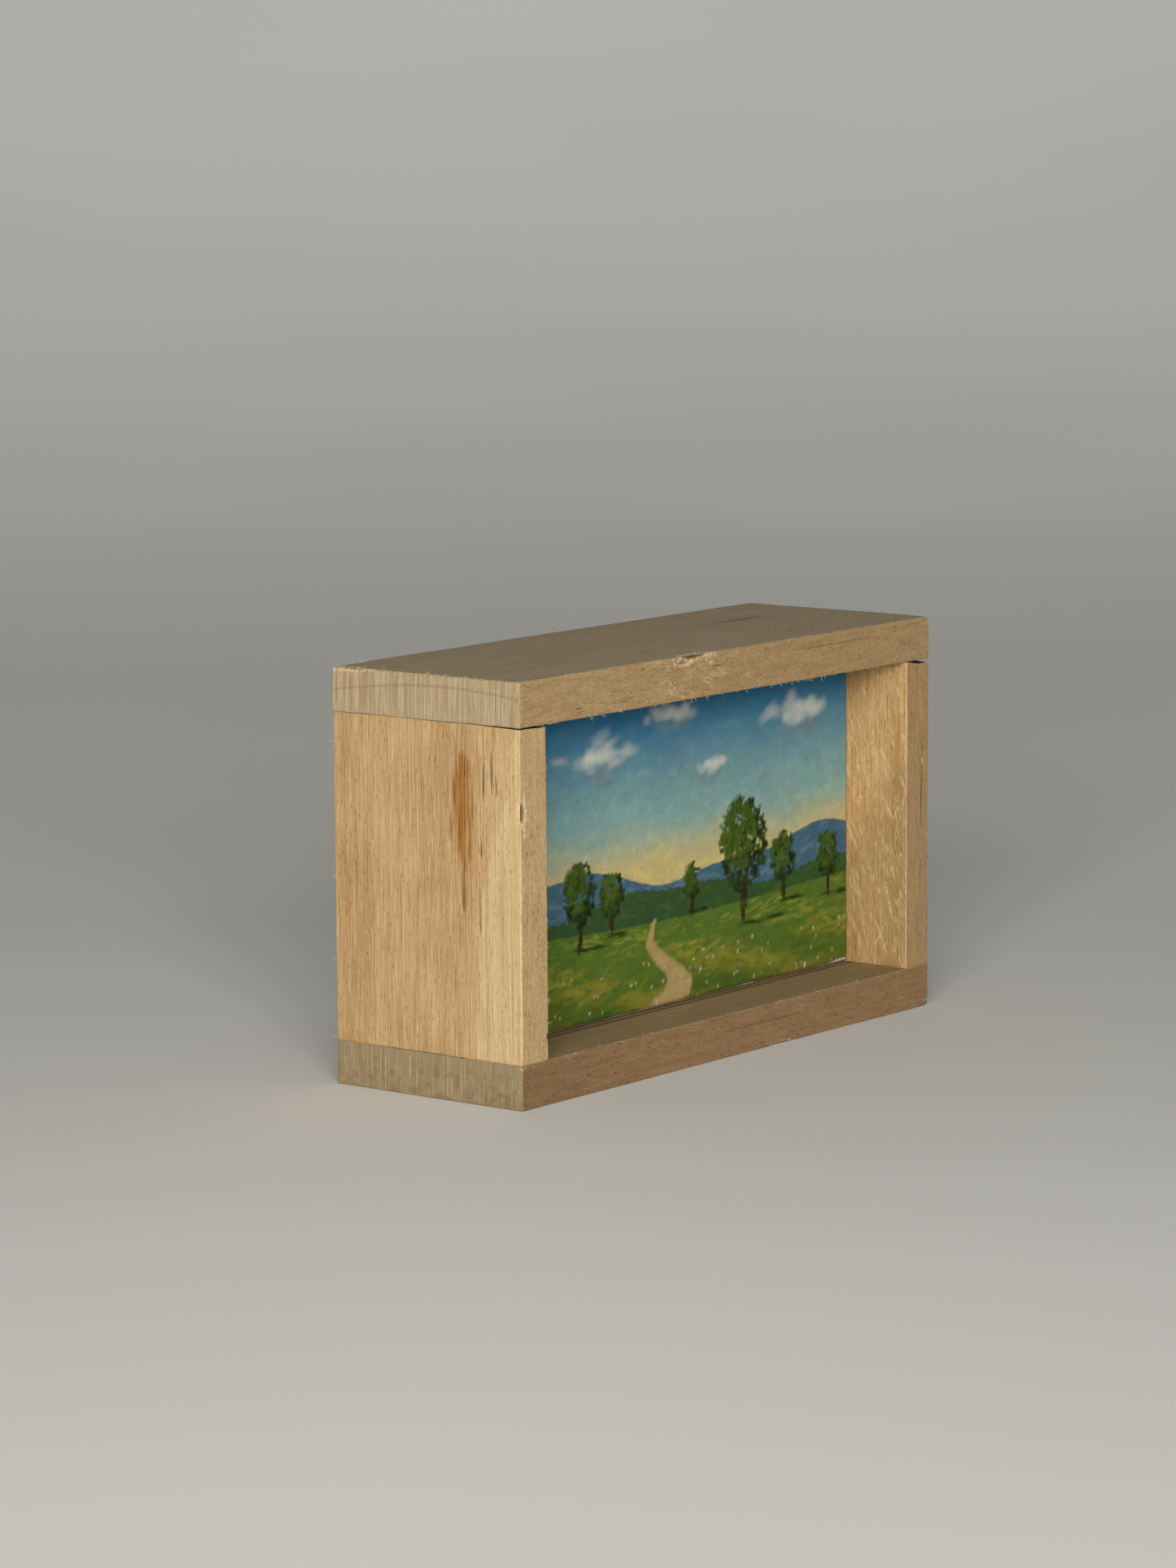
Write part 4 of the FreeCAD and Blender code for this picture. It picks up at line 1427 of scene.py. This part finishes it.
# -------- Floor, light and camera --------
def make_floor(settings):
    """A pale floor that rises softly all round: z = H (3t^2 - 2t^3), where t goes from 0 at the
    edge of the flat middle to 1 at the far rim."""
    edge = settings.flat_reach
    radius = np.concatenate([np.linspace(0, edge, 7), np.linspace(edge, FLOOR_END, 60)[1:]])
    angle = np.linspace(0, 2 * math.pi, 97)[:-1]
    r, a = np.meshgrid(radius[1:], angle, indexing="ij")
    z = settings.rim_height * ease(r, settings.flat_reach, settings.rim_reach) - BELOW_GROUND
    ring = np.stack([r * np.cos(a), r * np.sin(a), z], -1).reshape(-1, 3)
    quads = grid_faces(len(radius) - 1, len(angle), wrap_columns=True)
    points = np.concatenate([ring, [[0, 0, -BELOW_GROUND]]])
    first = np.arange(len(angle))
    fan = np.stack([first, np.roll(first, -1), np.full(len(angle), len(ring))], 1)
    look = Finish("pale_floor")
    cloudy = look.noise((300, 300, 300), detail=2)
    colour = look.mix(look.range(cloudy, 0.3, 0.7), settings.floor, tuple(0.95 * c for c in settings.floor))
    material = look.finish(Base_Color=colour, Roughness=0.9, Specular_IOR_Level=0.1)
    mesh = bpy.data.meshes.new("pale_floor")
    mesh.from_pydata(points.tolist(), [], quads.tolist() + fan.tolist())
    mesh.shade_smooth()
    mesh.materials.append(material)
    floor = bpy.data.objects.new("pale_floor", mesh)
    bpy.context.scene.collection.objects.link(floor)


def add_lamp(name, place, target, width, height, power, spread=180):
    """A soft oblong light that looks at a target, with its beam's spread in degrees."""
    lamp = bpy.data.lights.new(name, "AREA")
    lamp.shape, lamp.size, lamp.size_y = "RECTANGLE", width, height
    lamp.energy, lamp.color, lamp.spread = power, LAMP_TINT, math.radians(spread)
    holder = bpy.data.objects.new(name, lamp)
    bpy.context.scene.collection.objects.link(holder)
    aim = Vector(target) - Vector(place)
    holder.location = place
    holder.rotation_euler = aim.to_track_quat("-Z", "Y").to_euler()
    holder.visible_camera = False


def set_camera(settings):
    """Stands the camera at its place, turned by yaw, then pitch, then roll."""
    data = bpy.data.cameras.new("view")
    data.sensor_width, data.sensor_fit, data.lens = 36, "AUTO", settings.lens
    data.clip_start, data.clip_end = 0.02, 50
    camera = bpy.data.objects.new("view", data)
    bpy.context.scene.collection.objects.link(camera)
    turn = (
        Matrix.Rotation(-settings.camera_yaw, 4, "Z")
        @ Matrix.Rotation(math.pi / 2 + settings.camera_pitch, 4, "X")
        @ Matrix.Rotation(settings.camera_roll, 4, "Z")
    )
    camera.matrix_world = Matrix.Translation(settings.camera_place) @ turn
    bpy.context.scene.camera = camera


# -------- Operators, panel and registration --------
class BOXED_OT_boards(bpy.types.Operator):
    """Makes the four boards of the box frame"""

    bl_idname = "boxed.boards"
    bl_label = "Boards"

    def execute(self, context):
        for board in BOARDS:
            make_board(board, context.scene.boxed_boards)
        return {"FINISHED"}


class BOXED_OT_fibres(bpy.types.Operator):
    """Makes the loose fibres on the boards' edges"""

    bl_idname = "boxed.fibres"
    bl_label = "Loose fibres"

    def execute(self, context):
        make_fibres(context.scene.boxed_boards)
        return {"FINISHED"}


class BOXED_OT_strainer(bpy.types.Operator):
    """Makes the four mitred bars of the strainer"""

    bl_idname = "boxed.strainer"
    bl_label = "Strainer"

    def execute(self, context):
        for quarter, place in enumerate(("bottom", "right", "top", "left")):
            make_bar(f"strainer_{place}_bar", quarter, context.scene.boxed_strainer)
        return {"FINISHED"}


class BOXED_OT_canvas(bpy.types.Operator):
    """Makes the cotton cloth that is stretched over the strainer"""

    bl_idname = "boxed.canvas"
    bl_label = "Canvas"

    def execute(self, context):
        make_cloth(context.scene.boxed_canvas, context.scene.boxed_painting.film)
        return {"FINISHED"}


class BOXED_OT_painting(bpy.types.Operator):
    """Paints hills, a meadow and trees on the canvas"""

    bl_idname = "boxed.painting"
    bl_label = "Painting"

    def execute(self, context):
        make_paint(context.scene.boxed_painting)
        return {"FINISHED"}


class BOXED_OT_fastenings(bpy.types.Operator):
    """Makes the staples and the glue, and finishes the V-nails"""

    bl_idname = "boxed.fastenings"
    bl_label = "Staples, V-nails and glue"

    def execute(self, context):
        settings = context.scene.boxed_fastenings
        make_staples(settings)
        make_glue(settings)
        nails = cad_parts["corner_v_nails"]
        nails.data.materials.clear()
        nails.data.materials.append(wire_steel("v_nail_steel", settings.nail_steel, 0.35))
        return {"FINISHED"}


class BOXED_OT_stage(bpy.types.Operator):
    """Sets up the floor, the lights and the camera"""

    bl_idname = "boxed.stage"
    bl_label = "Stage"

    def execute(self, context):
        settings = context.scene.boxed_stage
        make_floor(settings)
        add_lamp("window", (-3.05, -2.3, 1.08), FRAME_MIDDLE, 2.6, 1.4, settings.key_power)
        add_lamp("near_screen", (-0.56, -0.42, 0.20), FRAME_MIDDLE, 0.42, 0.30, settings.near_power)
        add_lamp("backdrop", (1.3, 1.0, 1.9), (1.3, 1.0, 0), 1.2, 0.8, settings.backdrop_power, 80)
        add_lamp("foreground", (-0.26, -0.20, 0.36), (-0.165, -0.125, 0), 0.3, 0.3, settings.front_power, 50)
        world = bpy.data.worlds.new("surroundings")
        world.use_nodes = True
        background = world.node_tree.nodes["Background"]
        background.inputs["Color"].default_value = (*settings.sky, 1)
        background.inputs["Strength"].default_value = settings.sky_strength
        context.scene.world = world
        context.scene.view_settings.view_transform = "Standard"
        set_camera(settings)
        return {"FINISHED"}


OPERATORS = (
    BOXED_OT_stage, BOXED_OT_boards, BOXED_OT_fibres, BOXED_OT_strainer, BOXED_OT_canvas,
    BOXED_OT_painting, BOXED_OT_fastenings,
)


class BOXED_PT_panel(bpy.types.Panel):
    """Lists every step and the sizes and colours that it uses"""

    bl_idname = "BOXED_PT_panel"
    bl_label = "Boxed canvas"
    bl_space_type = "VIEW_3D"
    bl_region_type = "UI"
    bl_category = "Box frame"

    def draw(self, context):
        for operator in OPERATORS:
            self.layout.operator(operator.bl_idname)
        for name, group in SETTINGS.items():
            box = self.layout.box()
            box.label(text=group.__doc__)
            for key in group.__annotations__:
                box.prop(getattr(context.scene, name), key)


def register():
    for name, group in SETTINGS.items():
        bpy.utils.register_class(group)
        setattr(bpy.types.Scene, name, bpy.props.PointerProperty(type=group))
    for cls in (*OPERATORS, BOXED_PT_panel):
        bpy.utils.register_class(cls)


def unregister():
    for cls in (BOXED_PT_panel, *reversed(OPERATORS)):
        bpy.utils.unregister_class(cls)
    for name, group in reversed(SETTINGS.items()):
        delattr(bpy.types.Scene, name)
        bpy.utils.unregister_class(group)


def main():
    """Registers the classes and makes everything with the operators."""
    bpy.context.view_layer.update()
    register()
    for operator in OPERATORS:
        group, step = operator.bl_idname.split(".")
        getattr(getattr(bpy.ops, group), step)()


if __name__ == "__main__":
    main()
